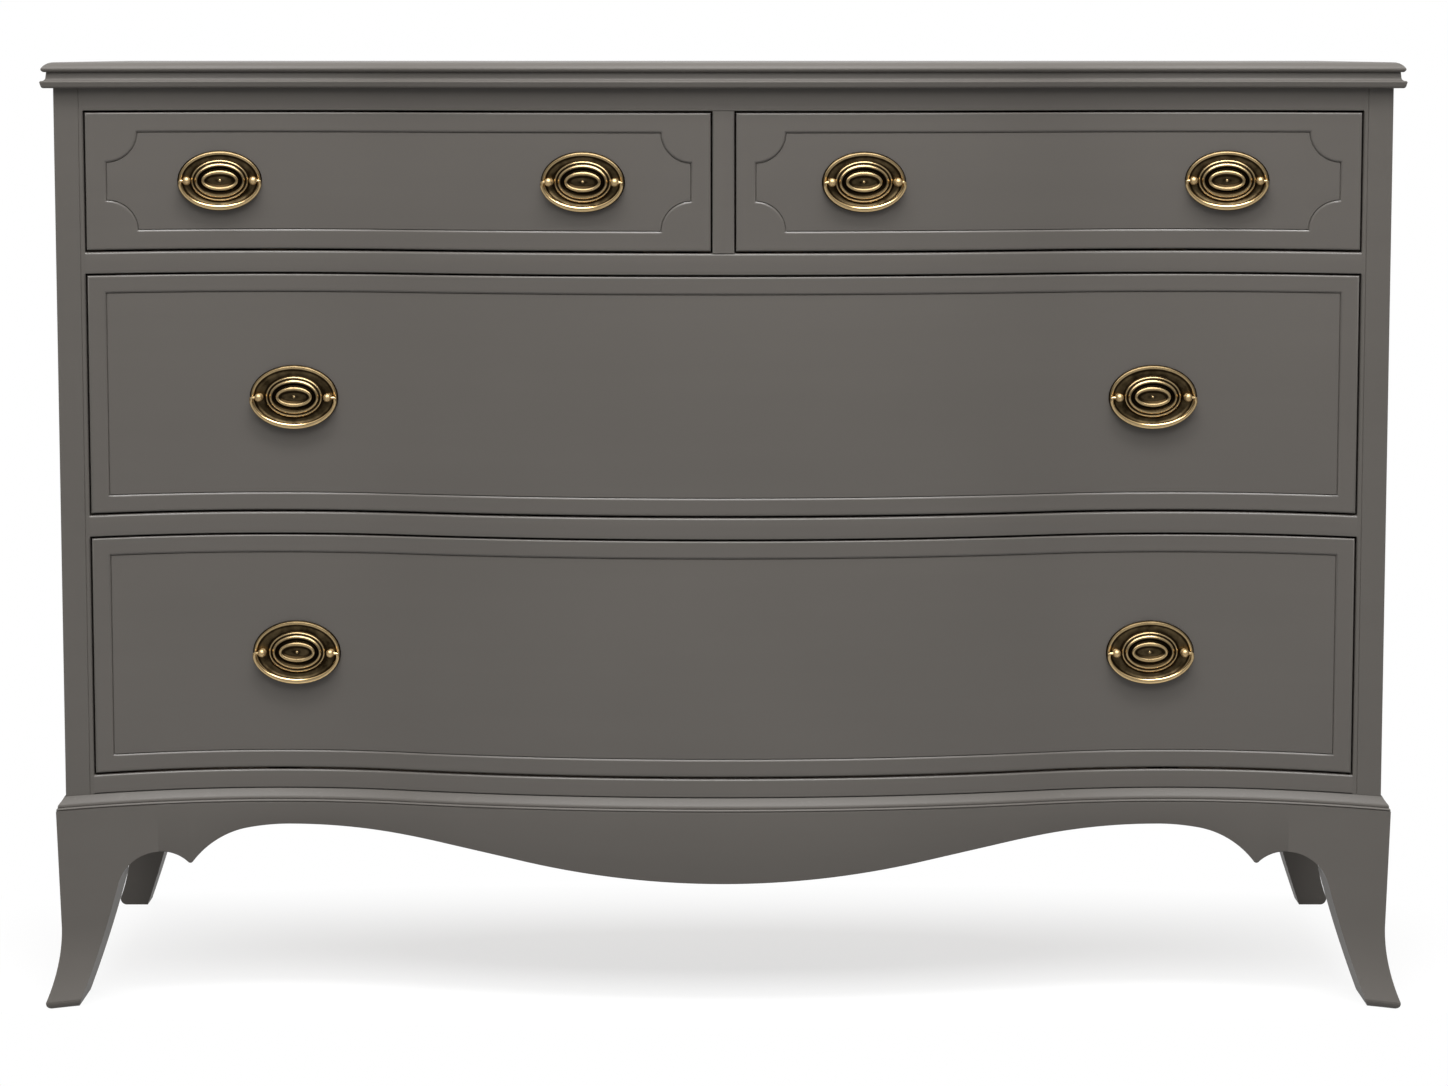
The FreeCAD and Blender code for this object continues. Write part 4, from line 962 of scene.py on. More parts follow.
class PullSite:
    """Where a pull sits on the serpentine front."""

    FIELD_DEPTH = 1.0

    def __init__(self, x: float, z: float, sizes: PullSizes) -> None:
        """Work out the seat and the angle of one pull.

        Args:
            x: Distance from the centre line.
            z: Height above the floor.
            sizes: The pull's sizes.
        """
        half = sizes.plate_width / 2
        if abs(x) < LINE.hollow_place / 2:
            seat = -self.FIELD_DEPTH
            sine = x / (LINE.belly_radius + seat)
        else:
            radius = LINE.hollow_radius + self.FIELD_DEPTH
            seat = LINE.hollow_radius - math.sqrt(radius * radius - half * half)
            sine = (math.copysign(LINE.hollow_place, x) - x) / (LINE.hollow_radius - seat)
        seated = Matrix.Translation((x, LINE.y(x, seat), z))
        self.matrix = seated @ Matrix.Rotation(math.asin(sine), 4, "Z")


class OvalPull:
    """A stamped oval plate with two ball posts and a swinging bail."""

    SIDES = 96
    POST_SIDES = 36
    BALL_STEPS = 18
    ROD_SIDES = 20
    ROD_STEPS = 64
    BOW_START = 3
    STATION_STEPS = 4
    SKIRT_DEPTH = 3.6
    SKIRT_AGE = 0.6
    LEAST_AGE = 0.001
    AXIS_GAP = 0.02

    # Insets from the plate's edge along X and Z, height above the front and brownness
    RIM = ((0.1, 0.1, 0.0, 0.95), (0.0, 0.0, 0.8, 0.85), (0.3, 0.3, 1.5, 0.85), (1.2, 1.2, 2.25, 0.65),
           (2.4, 2.4, 2.6, 0.15), (3.6, 3.6, 2.35, 0.5), (4.3, 4.3, 1.8, 0.98), (5.2, 5.2, 1.35, 0.76),
           (6.4, 6.4, 0.8, 0.69), (8.0, 7.9, 0.45, 0.69))

    # Half length, half height, height above the front and brownness
    RING = ((28.8, 20.7, 0.5, 0.74), (27.4, 19.8, 0.8, 1.0), (26.8, 19.2, 1.4, 0.75),
            (26.0, 18.4, 1.9, 0.15), (25.2, 17.7, 1.75, 0.7), (24.5, 17.0, 1.4, 1.0),
            (23.7, 16.2, 1.8, 0.8), (22.8, 15.3, 2.5, 0.3), (21.8, 14.3, 2.8, 0.35),
            (20.8, 13.2, 2.5, 0.9), (19.8, 12.1, 1.5, 1.0), (19.0, 11.3, 0.8, 1.0))
    OVAL = ((18.3, 10.5, 1.3, 1.0), (17.3, 9.4, 2.5, 0.7), (16.0, 8.0, 3.1, 0.1),
            (14.7, 6.5, 2.7, 0.6), (13.6, 5.2, 1.8, 0.95), (12.8, 4.4, 1.2, 1.0))
    CENTRE = ((11.5, 3.9, 0.95, 0.72), (6.0, 2.6, 1.0, 0.68), (2.2, 1.6, 1.15, 0.72),
              (1.5, 1.3, 1.3, 0.6), (1.0, 1.0, 1.8, 0.3), (0.5, 0.5, 2.0, 0.2))

    # Inset from the collar's radius and distance out of the plate
    COLLAR = ((0.0, 1.0), (0.0, 2.9), (0.4, 3.5))
    NECK_OUT = 3.7
    NECK_FLARE = 0.3

    # Inset from the end of the bail's bow, drop below the pin and swelling of each point of its elbow
    ELBOW = ((1.6, 0.0, 0.0), (0.5, 0.4, 0.2))

    def __init__(self, sizes: PullSizes) -> None:
        """Keep the sizes.

        Args:
            sizes: The pull's sizes.
        """
        self.sizes = sizes

    def plate(self) -> MeshMaker:
        """Build the plate about its own centre.

        Returns:
            The plate's faces.
        """
        wide = self.sizes.plate_width / 2
        tall = self.sizes.plate_height / 2
        rim = [(wide - across, tall - up, out, age) for across, up, out, age in self.RIM]
        chain = [(*rim[0][:2], -self.SKIRT_DEPTH, self.SKIRT_AGE)]
        chain += smooth_chain([*rim, *self.RING, *self.OVAL, *self.CENTRE], self.STATION_STEPS)
        maker = MeshMaker()
        rows = [oval(half_long, half_tall, out, self.SIDES) for half_long, half_tall, out, _ in chain]
        maker.tube(rows, [max(station[-1], self.LEAST_AGE) for station in chain])
        return maker

    def lathe(self, maker: MeshMaker, profile: Sequence[Flat], along: float) -> None:
        """Turn a profile about a line that runs out of the plate.

        Args:
            maker: Where the faces go.
            profile: Radius and distance out of the plate of each corner.
            along: Distance of the line from the plate's centre.
        """
        rows = []
        for radius, out in profile:
            ring = oval(radius, radius, out, self.POST_SIDES)
            rows.append([point + Vector((along, 0.0, 0.0)) for point in ring])
        maker.tube(rows)

    def posts(self) -> MeshMaker:
        """Build both posts and their nuts about the plate's centre.

        Returns:
            Their faces.
        """
        sizes = self.sizes
        shank = sizes.shank_radius
        end = -sizes.front_thickness - sizes.shank_past
        profile = [(self.AXIS_GAP, end), (shank - sizes.shank_arris, end), (shank, end + sizes.shank_arris),
                   (shank, self.COLLAR[0][1])]
        profile += [(sizes.collar_radius - inset, out) for inset, out in self.COLLAR]
        profile.append((shank + self.NECK_FLARE, self.NECK_OUT))
        start = math.atan2(shank, -math.sqrt(sizes.ball_radius ** 2 - shank ** 2))
        for step in range(self.BALL_STEPS + 1):
            angle = start * (1 - step / self.BALL_STEPS)
            profile.append((max(sizes.ball_radius * math.sin(angle), self.AXIS_GAP),
                            sizes.standoff + sizes.ball_radius * math.cos(angle)))
        seat = sizes.nut_sunk - sizes.front_thickness
        outer = seat - sizes.nut_height
        nut = sizes.nut_radius
        nut_profile = [(self.AXIS_GAP, outer), (nut - sizes.nut_arris, outer), (nut, outer + sizes.nut_arris),
                       (nut, seat), (self.AXIS_GAP, seat)]
        maker = MeshMaker()
        for side in (-1, 1):
            self.lathe(maker, profile, side * sizes.post_spread / 2)
            self.lathe(maker, nut_profile, side * sizes.post_spread / 2)
        return maker

    def bail(self) -> MeshMaker:
        """Build the bail, hanging with its foot against the rim.

        Returns:
            Its faces.
        """
        sizes = self.sizes
        half_long = sizes.plate_width / 2 - sizes.side_inset
        half_tall = sizes.plate_height / 2 - sizes.foot_inset
        away = sizes.standoff - sizes.rim_height - sizes.rod_depth - sizes.rest_gap
        hang = math.asin(away / half_tall)
        inner = sizes.post_spread / 2 - sizes.ball_radius + sizes.pin_buried
        pin = sizes.pin_radius
        path = [(Vector((-inner, 0.0, 0.0)), pin, pin),
                (Vector((-inner - sizes.pin_length, 0.0, 0.0)), pin, pin)]
        path += [(Vector((inset - half_long, 0.0, -drop)), pin + swell, pin + swell)
                 for inset, drop, swell in self.ELBOW]
        near_end = path[:]
        for index in range(self.BOW_START, self.ROD_STEPS - self.BOW_START + 1):
            angle = math.pi * (1 + index / self.ROD_STEPS)
            share = math.sin(math.pi * index / self.ROD_STEPS)
            point = Vector((half_long * math.cos(angle), 0.0, half_tall * math.sin(angle)))
            across = sizes.rod_radius + sizes.rod_swell * share * share
            path.append((point, across, min(across, sizes.rod_depth)))
        path += [(Vector((-point.x, 0.0, point.z)), across, deep)
                 for point, across, deep in reversed(near_end)]
        rows = []
        inwards = Vector((0.0, 1.0, 0.0))
        for index, (point, across, deep) in enumerate(path):
            ahead = path[min(index + 1, len(path) - 1)][0] - path[max(index - 1, 0)][0]
            outward = ahead.cross(inwards).normalized()
            ring = []
            for step in range(self.ROD_SIDES):
                angle = math.tau * step / self.ROD_SIDES
                ring.append(point + outward * (across * math.cos(angle)) + inwards * (deep * math.sin(angle)))
            rows.append(ring)
        flat = MeshMaker()
        flat.tube(rows)
        maker = MeshMaker()
        lean = Matrix.Translation((0.0, -sizes.standoff, 0.0)) @ Matrix.Rotation(hang, 4, "X")
        maker.placed(lean, flat)
        return maker


# Mouldings and boards that follow the serpentine line

def wrap_round(maker: MeshMaker, profile: Sequence[Flat], back: float | None) -> list[list[int]]:
    """Run a profile along the front and round both corners towards the back.

    Args:
        maker: Where the faces go.
        profile: How far out and how high each line of the profile is.
        back: Y of the rear ends, or None where the ends stop at the face of the case.

    Returns:
        The numbers of each line's points, from the left rear end to the right one.
    """
    rows = []
    shares = spread(-1.0, 1.0, FRONT_PITCH / LINE.case_half)
    for out, height in profile:
        reach = LINE.case_half + out
        end = LINE.y(reach, 0.0) + MITRE_GAP if back is None else back
        row = [Vector((-reach, end, height))]
        row += [Vector((reach * share, LINE.y(reach * share, out), height)) for share in shares]
        row.append(Vector((reach, end, height)))
        rows.append(maker.points(row))
    for first, second in zip(rows, rows[1:]):
        maker.bridge(first, second, False)
    return rows


@dataclass(frozen=True)
class MouldedTop:
    """The top board with its double bead."""

    height: float = 892.0
    thickness: float = 24.0
    overhang: float = 9.8
    bead_setback: float = 0.8
    bead_run: float = 10.0
    bead_drop: float = 6.2
    shoulder_radius: float = 11.2
    quirk_depth: float = 4.2
    quirk_top: float = 8.9
    wall_lean: float = 0.6
    quirk_bottom: float = 14.6
    turn_radius: float = 3.0
    cove_radius: float = 3.2
    crest_drop: float = 17.2
    crest_setback: float = 0.7
    crest_radius: float = 1.5
    lower_drop: float = 19.0
    face_lean: float = 0.7
    face_drop: float = 21.8
    under_radius: float = 2.7
    under_run: float = 2.9
    flat_margin: float = 4.0

    def build(self, palette: Palette) -> None:
        """Make the board.

        Args:
            palette: The finishes.
        """
        top = self.height
        bottom = top - self.thickness
        upper = self.overhang - self.bead_setback
        quirk = upper - self.quirk_depth
        start = upper - self.bead_run
        edge = sample_outline([
            (start, top, self.shoulder_radius, RIGHT),
            (upper, top - self.bead_drop, self.turn_radius, RIGHT),
            (quirk, top - self.quirk_top),
            (quirk + self.wall_lean, top - self.quirk_bottom, self.cove_radius, LEFT),
            (self.overhang - self.crest_setback, top - self.crest_drop, self.crest_radius, RIGHT),
            (self.overhang, top - self.lower_drop),
            (self.overhang - self.face_lean, top - self.face_drop, self.under_radius, RIGHT),
            (self.overhang - self.under_run, bottom),
            (0.0, bottom)])
        profile = [(start - self.flat_margin, top)] + edge + [(-self.flat_margin, bottom)]
        maker = MeshMaker()
        rows = wrap_round(maker, profile, LINE.behind(LINE.case_depth + LINE.top_back_overhang))
        maker.lid(rows[0])
        maker.lid(rows[-1])
        maker.lid([row[0] for row in rows] + [row[-1] for row in reversed(rows)])
        maker.piece("moulded_top", "case", palette.moulding_paint, "top_board")


@dataclass(frozen=True)
class BaseMoulding:
    """Moulding between the case and its base: a hollowed slope, a round nose and a thin bead."""

    height: float = 12.6
    notch: float = 1.0
    notch_drop: float = 1.4
    slope_out: float = 5.3
    slope_drop: float = 6.3
    slope_radius: float = 36.0
    round_drop: float = 9.2
    round_radius: float = 4.0
    neck: float = 0.6
    neck_dip: float = 0.5
    neck_lean: float = 0.1
    bead: float = 1.3
    bead_radius: float = 2.4
    bead_foot: float = 1.3
    bead_return: float = 0.9
    joint: float = 0.5

    def profile(self) -> list[Flat]:
        """The section, from the top of the case face round to its foot.

        Returns:
            How far out and how high each point is.
        """
        top = LEG_HEIGHT + self.height
        neck = BASE_PROJECTION - self.bead - self.neck_lean
        foot = neck + self.bead - self.bead_return
        low = top - self.round_drop
        return sample_outline([
            (0.0, top - self.notch_drop),
            (self.notch, top, self.slope_radius, LEFT),
            (self.slope_out, top - self.slope_drop, self.round_radius, RIGHT),
            (neck, low),
            (neck - self.neck_dip, low - self.neck_lean),
            (neck - self.neck_dip, low - self.neck),
            (neck, low - self.neck, self.bead_radius, RIGHT),
            (neck + self.bead, LEG_HEIGHT + self.bead_foot),
            (foot, LEG_HEIGHT + self.joint),
            (foot, LEG_HEIGHT),
            (0.0, LEG_HEIGHT)])

    def build(self, palette: Palette) -> None:
        """Make the front length and the two side lengths.

        Args:
            palette: The finishes.
        """
        profile = self.profile()
        front = MeshMaker()
        rows = wrap_round(front, profile, None)
        front.bridge(rows[-1], rows[0], False)
        for end in (0, -1):
            front.lid([row[end] for row in rows])
        front.piece("base_moulding_run", "case", palette.moulding_paint,
                    "base_moulding_front", 30.0)
        sides = MeshMaker()
        back = LINE.behind(LINE.case_depth)
        for side in (-1, 1):
            near_end = []
            far_end = []
            for out, height in profile:
                reach = LINE.case_half + out
                near_end.append(Vector((side * reach, LINE.y(reach, 0.0) + 2 * MITRE_GAP, height)))
                far_end.append(Vector((side * reach, back, height)))
            sides.tube([near_end, far_end])
        sides.piece("base_moulding_returns", "case", palette.moulding_paint,
                    "base_moulding_sides", 30.0)


@dataclass(frozen=True)
class FrontRail:
    """A rail between the posts with softened edges beside the drawers."""

    node: str
    bottom: float
    top: float
    soft_below: bool = True
    soft_above: bool = True
    arris: float = 1.0
    upper_arris: float = 2.6
    groove: float = 0.0
    groove_height: float = 1.3
    groove_depth: float = 1.6

    def build(self, palette: Palette) -> None:
        """Make the rail.

        Args:
            palette: The finishes.
        """
        upper = self.upper_arris
        lower = self.arris
        front: list[Corner] = [(-upper * 2, self.top)]
        if self.soft_above:
            front += [(-upper, self.top, upper, RIGHT), (0.0, self.top - upper)]
        else:
            front.append((0.0, self.top))
        if self.groove:
            over = self.groove + self.groove_height
            front += [(0.0, over), (-self.groove_depth, over), (-self.groove_depth, self.groove),
                      (0.0, self.groove)]
        if self.soft_below:
            front += [(0.0, self.bottom + lower, lower, RIGHT), (-lower, self.bottom)]
        else:
            front.append((0.0, self.bottom))
        front.append((-upper * 2, self.bottom))
        section = sample_outline(front, 6)
        back = LINE.behind(INNER_BACK)
        loops = []
        for x in spread(-POST_INNER, POST_INNER, FRONT_PITCH):
            rear = [Vector((x, back, self.bottom)), Vector((x, back, self.top))]
            loops.append(section_at(x, section) + rear)
        maker = MeshMaker()
        maker.tube(loops)
        maker.piece(self.node + "_board", "case", palette.case_paint, self.node, 30.0)


@dataclass(frozen=True)
class FrontPosts:
    """The corner posts, with the joint line beside the rails and softened edges beside the drawers."""

    back: float = 62.0
    joint: float = 602.3
    joint_half: float = 0.35
    joint_depth: float = 0.45
    arris: float = 1.6
    arris_margin: float = 0.2
    joint_margin: float = 1.0
    corner_margin: float = 0.3
    corner_round: float = 1.2
    pitch: float = 4.0

    def levels(self) -> list[tuple[float, bool]]:
        """Where the post's edge changes.

        Returns:
            Each height, and whether the inner edge is soft there.
        """
        marks: list[tuple[float, bool]] = []
        for low, high in (BOTTOM_RAIL, LOWER_DIVIDER, UPPER_DIVIDER, TOP_RAIL):
            marks += [(low - SOFT_FADE, True), (low, False), (high, False), (high + SOFT_FADE, True)]
        return marks[1:-1]

    def plan(self, soft: bool) -> list[Flat]:
        """The right post's outline, from its inner edge to its outer one.

        Args:
            soft: Whether the inner edge is soft.

        Returns:
            Distance of its points from the centre line and behind the face of the case.
        """
        arris = self.arris if soft else CRISP
        edge = [(POST_INNER + across, behind) for across, behind in quarter_round(arris)]
        edge += [(POST_INNER + arris + self.arris_margin, 0.0), (self.joint - self.joint_half, 0.0),
                 (self.joint, self.joint_depth), (self.joint + self.joint_half, 0.0)]
        outer = LINE.case_half
        edge += [(x, 0.0) for x in spread(self.joint + self.joint_margin,
                                          outer - self.corner_round - self.corner_margin, self.pitch)]
        edge += [(outer - across, behind) for behind, across in quarter_round(self.corner_round)]
        return edge

    def build(self, palette: Palette) -> None:
        """Make both posts.

        Args:
            palette: The finishes.
        """
        for side, word in ((-1, "left"), (1, "right")):
            maker = MeshMaker()
            maker.tube([plan_at(height, [(side * x, behind) for x, behind in self.plan(soft)], self.back)
                        for height, soft in self.levels()])
            # The posts wear the darker copy of the case paint, which is painted shade.
            maker.piece(word + "_corner_post", "case", palette.shaded_post_paint,
                        word + "_front_post", 32.0)


@dataclass(frozen=True)
class CentreStile:
    """The upright between the two small drawers."""

    half: float = 10.25
    bottom: float = UPPER_DIVIDER[1]
    top: float = TOP_RAIL[0]
    arris: float = 1.6

    def build(self, palette: Palette) -> None:
        """Make the stile.

        Args:
            palette: The finishes.
        """
        loops = []
        for height, arris in ((self.bottom, CRISP), (self.bottom + SOFT_FADE, self.arris),
                              (self.top - SOFT_FADE, self.arris), (self.top, CRISP)):
            edge = [(self.half - across, behind) for across, behind in quarter_round(arris)]
            plan = [(-x, behind) for x, behind in edge] + [(0.0, 0.0)] + edge[::-1]
            loops.append(plan_at(height, plan, INNER_BACK))
        maker = MeshMaker()
        maker.tube(loops)
        maker.piece("centre_upright", "case", palette.case_paint, "centre_stile", 32.0)


@dataclass(frozen=True)
class FrontApron:
    """The shaped apron between the front feet."""

    thickness: float = 22.0
    arris: float = 1.0
    top_arris: float = 0.15
    seam: float = 540.0
    arch_radius: float = 38.3
    arch_depth: float = 45.3
    middle_drop: float = 68.6
    middle_radius: float = 965.0
    straight_start: Flat = (185.0, 50.7)
    straight_end: Flat = (262.0, 35.8)
    rise_radius: float = 790.0
    hump_start: Flat = (93.6, 21.1)
    hump_radius: float = 240.0
    hump_end: Flat = (53.6, 24.4)
    fall_radius: float = 84.0
    cusp_drop: float = 11.1
    cusp_width: float = 4.8
    cusp_radius: float = 2.9
    crown_depth: float = 1.7

    def lower_edge(self) -> list[Flat]:
        """The lower edge of the right half, from the middle outwards.

        Returns:
            Distance of its points from the centre line, and their heights.
        """
        top = LEG_HEIGHT
        arch = top - self.arch_depth
        cusp_height = arch - self.cusp_drop
        rise = cusp_height - (arch - self.arch_radius)
        cusp = self.seam - math.sqrt(self.arch_radius ** 2 - rise ** 2)
        end = cusp - self.cusp_width
        return sample_outline([
            (0.0, top - self.middle_drop, self.middle_radius, LEFT),
            (self.straight_start[0], top - self.straight_start[1]),
            (self.straight_end[0], top - self.straight_end[1], self.rise_radius, RIGHT),
            (end - self.hump_start[0], top - self.hump_start[1], self.hump_radius, RIGHT),
            (end - self.hump_end[0], top - self.hump_end[1], self.fall_radius, RIGHT),
            (end, cusp_height, self.cusp_radius, LEFT),
            (cusp, cusp_height, self.arch_radius, RIGHT),
            (self.seam, arch)], 16)

    def build(self, palette: Palette) -> None:
        """Make the apron.

        Args:
            palette: The finishes.
        """
        half = self.lower_edge()
        edge = [(-x, z) for x, z in reversed(half[1:])] + half
        face = BASE_PROJECTION
        inner = face - self.thickness
        crown = [(face - self.top_arris, LEG_HEIGHT), (face, LEG_HEIGHT - self.top_arris),
                 (face, LEG_HEIGHT - self.crown_depth)]
        loops = []
        for x, low in edge:
            lip = [(face - back, low + up) for back, up in quarter_round(self.arris, 3)]
            foot = [(face - self.arris * 2, low), (inner, low), (inner, LEG_HEIGHT)]
            loops.append(section_at(x, crown + lip + foot))
        maker = MeshMaker()
        maker.tube(loops)
        maker.piece("shaped_apron", "case", palette.foot_paint, "front_apron", 35.0)


# Drawers

@dataclass(frozen=True)
class DrawerFront:
    """A serpentine drawer front with a sunk field."""

    left: float
    right: float
    bottom: float
    top: float
    inset: float
    scoop: float = 0.0
    thickness: float = 20.0
    edge_radius: float = 1.7
    margin: float = 1.2
    side_margin: float = 1.0
    scoop_steps: int = 12
    strip: float = 12.0
    field_edge: tuple[Flat, ...] = (
        (-2.6, 0.0), (-1.3, 0.0), (-1.05, 0.06), (0.1, 0.95), (0.25, 1.9), (0.5, 2.1), (0.8, 1.9),
        (1.05, 1.05), (1.9, 1.0))

    def frame_points(self) -> list[Flat]:
        """Points round the outer edge that go with the points of the field's outline.

        Returns:
            The points in order.
        """
        points: list[Flat] = []
        reach = self.inset + self.scoop
        half = self.scoop_steps // 2
        runs = [reach * (1 - step / half) for step in range(half)]
        for x, z, x_way, z_way, upright_first in self.corners():
            if not self.scoop:
                points.append((x, z))
                continue
            on_side = [(x, z + z_way * run) for run in runs]
            on_edge = [(x + x_way * run, z) for run in runs]
            first, second = (on_side, on_edge) if upright_first else (on_edge, on_side)
            points += first + [(x, z)] + second[::-1]
        return points

    def corners(self) -> list[tuple[float, float, int, int, bool]]:
        """Each corner in order, the way inwards, and whether an upright edge leads to it."""
        return [(self.right, self.top, -1, -1, False), (self.right, self.bottom, -1, 1, True),
                (self.left, self.bottom, 1, 1, False), (self.left, self.top, 1, -1, True)]

    def field_points(self, inward: float) -> list[Flat]:
        """The field's outline, moved inwards.

        Args:
            inward: How far it is moved.

        Returns:
            Its points, as many as the outer edge has.
        """
        points: list[Flat] = []
        for x, z, x_way, z_way, upright_first in self.corners():
            x += x_way * self.inset
            z += z_way * self.inset
            if not self.scoop:
                points.append((x + x_way * inward, z + z_way * inward))
                continue
            radius = self.scoop + inward
            skip = math.asin(inward / radius)
            for step in range(self.scoop_steps + 1):
                share = step / self.scoop_steps
                turn = skip + (math.pi / 2 - 2 * skip) * (1 - share if upright_first else share)
                points.append((x + x_way * radius * math.cos(turn),
                               z + z_way * radius * math.sin(turn)))
        return points

    def edge_points(self, inward: float) -> list[Flat]:
        """The outer edge, moved inwards.

        Args:
            inward: How far it is moved.

        Returns:
            Its points.
        """
        return [(min(max(x, self.left + inward), self.right - inward),
                 min(max(z, self.bottom + inward), self.top - inward)) for x, z in self.frame_points()]

    def build(self, word: str, palette: Palette) -> None:
        """Make the front.

        Args:
            word: The drawer's name.
            palette: The finishes.
        """
        radius = self.edge_radius
        outline = self.edge_points(0.0)
        rows = [(outline, self.thickness), (outline, radius + self.side_margin)]
        rows += [(self.edge_points(inward), behind) for inward, behind in quarter_round(radius)]
        rows.append((self.edge_points(radius + self.margin), 0.0))
        rows += [(self.field_points(inward), depth) for inward, depth in self.field_edge]
        maker = MeshMaker()
        numbers = [maker.points([Vector((x, behind, z)) for x, z in points])
                   for points, behind in rows]
        for first, second in zip(numbers, numbers[1:]):
            maker.bridge(first, second, True)
        maker.lid(numbers[0])
        maker.lid(numbers[-1])
        maker.bend(self.strip)
        maker.piece(word + "_face", word, palette.case_paint, word + "_front", 25.0)


@dataclass(frozen=True)
class Drawer:
    """A drawer with its box and its two pulls."""

    word: str
    front: DrawerFront
    pulls: tuple[Flat, Flat]
    pull_sizes: PullSizes

    def build(self, palette: Palette) -> None:
        """Make the front and the pulls, and dress the box.

        Args:
            palette: The finishes.
        """
        self.front.build(self.word, palette)
        dress(palette.wood_deep, self.word + "_sides")
        dress(palette.wood_along, self.word + "_back", self.word + "_bottom")
        pull = OvalPull(self.pull_sizes)
        plates = MeshMaker()
        posts = MeshMaker()
        for side, (x, z) in zip(("left", "right"), self.pulls):
            site = PullSite(x, z, self.pull_sizes)
            plates.placed(site.matrix, pull.plate())
            posts.placed(site.matrix, pull.posts())
            bail = MeshMaker()
            bail.placed(site.matrix, pull.bail())
            name = "%s_%s_bail" % (self.word, side)
            bail.piece(name + "_rod", name, palette.rod_brass, name)
        plates.piece(self.word + "_oval_plates", self.word, palette.worn_brass,
                     self.word + "_backplates")
        posts.piece(self.word + "_ball_posts", self.word, palette.ball_brass,
                    self.word + "_pull_bolts")


# Outer and inner edges of the fronts, the gap above and below them, and their pulls, in millimetres
DRAWER_SIDE = 597.0
DRAWER_MIDDLE = 11.75
DRAWER_GAP = 1.8
SMALL_PULL = PullSizes(plate_width=79.2, plate_height=56.6, post_spread=62.2)
WIDE_PULL = PullSizes(plate_width=84.2, plate_height=61.0, post_spread=65.4)
SMALL_PULL_LEVEL = 781.0


def small_drawer(word: str, left: float, right: float, pulls: Flat) -> Drawer:
    """One of the two drawers of the top row.

    Args:
        word: Its name.
        left: Left edge of its front.
        right: Right edge of its front.
        pulls: Distance of each pull from the centre line.

    Returns:
        The drawer.
    """
    front = DrawerFront(left, right, UPPER_DIVIDER[1] + DRAWER_GAP, TOP_RAIL[0] - DRAWER_GAP,
                        inset=18.0, scoop=28.0)
    return Drawer(word, front, ((pulls[0], SMALL_PULL_LEVEL), (pulls[1], SMALL_PULL_LEVEL)), SMALL_PULL)


def wide_drawer(word: str, below: float, above: float, level: float, pull: float = 407.5) -> Drawer:
    """A drawer as wide as the case.

    Args:
        word: Its name.
        below: Top of the rail below it.
        above: Bottom of the rail above it.
        level: Height of its pulls.
        pull: Distance of its pulls from the centre line.

    Returns:
        The drawer.
    """
    front = DrawerFront(-DRAWER_SIDE, DRAWER_SIDE, below + DRAWER_GAP, above - DRAWER_GAP, inset=16.2)
    return Drawer(word, front, ((-pull, level), (pull, level)), WIDE_PULL)


DRAWERS = (
    small_drawer("upper_left_drawer", -DRAWER_SIDE, -DRAWER_MIDDLE, (-475.0, -131.0)),
    small_drawer("upper_right_drawer", DRAWER_MIDDLE, DRAWER_SIDE, (131.0, 475.0)),
    wide_drawer("middle_drawer", LOWER_DIVIDER[1], UPPER_DIVIDER[0], 576.2),
    wide_drawer("lower_drawer", BOTTOM_RAIL[1], LOWER_DIVIDER[0], 331.7))


# Case

@dataclass(frozen=True)
class Carcase:
    """Posts, rails, panels and the inner work."""

    painted: tuple[str, ...] = (
        "left_side_panel", "right_side_panel", "left_rear_post", "right_rear_post")
    rails: tuple[FrontRail, ...] = (
        FrontRail("bottom_rail", *BOTTOM_RAIL, soft_below=False, groove=199.9),
        FrontRail("lower_divider_rail", *LOWER_DIVIDER),
        FrontRail("upper_divider_rail", *UPPER_DIVIDER),
        FrontRail("top_front_rail", *TOP_RAIL, soft_above=False))

    def build(self, palette: Palette) -> None:
        """Make the rails and dress the rest.

        Args:
            palette: The finishes.
        """
        FrontPosts().build(palette)
        CentreStile().build(palette)
        for rail in self.rails:
            rail.build(palette)
        dress(palette.case_paint, *self.painted)
        dress(palette.wood_along, "top_rear_rail", "bottom_rear_rail")
        dress(palette.wood_deep, "drawer_runners", "top_cleats", "drawer_stops", "base_corner_blocks")
        dress(palette.back_wood, "back_panel")
        dress(palette.steel, "top_screws")


@dataclass(frozen=True)
class Base:
    """Aprons and feet."""

    shown: tuple[str, ...] = (
        "left_front_foot", "right_front_foot", "left_rear_foot", "right_rear_foot", "side_aprons")

    def build(self, palette: Palette) -> None:
        """Dress every node.

        Args:
            palette: The finishes.
        """
        FrontApron().build(palette)
        dress(palette.foot_paint, *self.shown)


# Studio

WHITE = opaque((1.0, 1.0, 1.0))


@dataclass(frozen=True)
class Lamp:
    """A soft lamp that faces the dresser, in metres and watts."""

    name: str
    place: tuple[float, float, float]
    size: tuple[float, float]
    power: float
    target: tuple[float, float, float] = (0.0, -0.25, 0.6)

    def hang(self) -> None:
        """Put the lamp in the scene."""
        data = bpy.data.lights.new(self.name, "AREA")
        data.shape = "RECTANGLE"
        data.size, data.size_y = self.size
        data.energy = self.power
        item = bpy.data.objects.new(self.name, data)
        item.location = self.place
        aim = Vector(self.target) - Vector(self.place)
        item.rotation_euler = aim.to_track_quat("-Z", "Y").to_euler()
        bpy.context.scene.collection.objects.link(item)


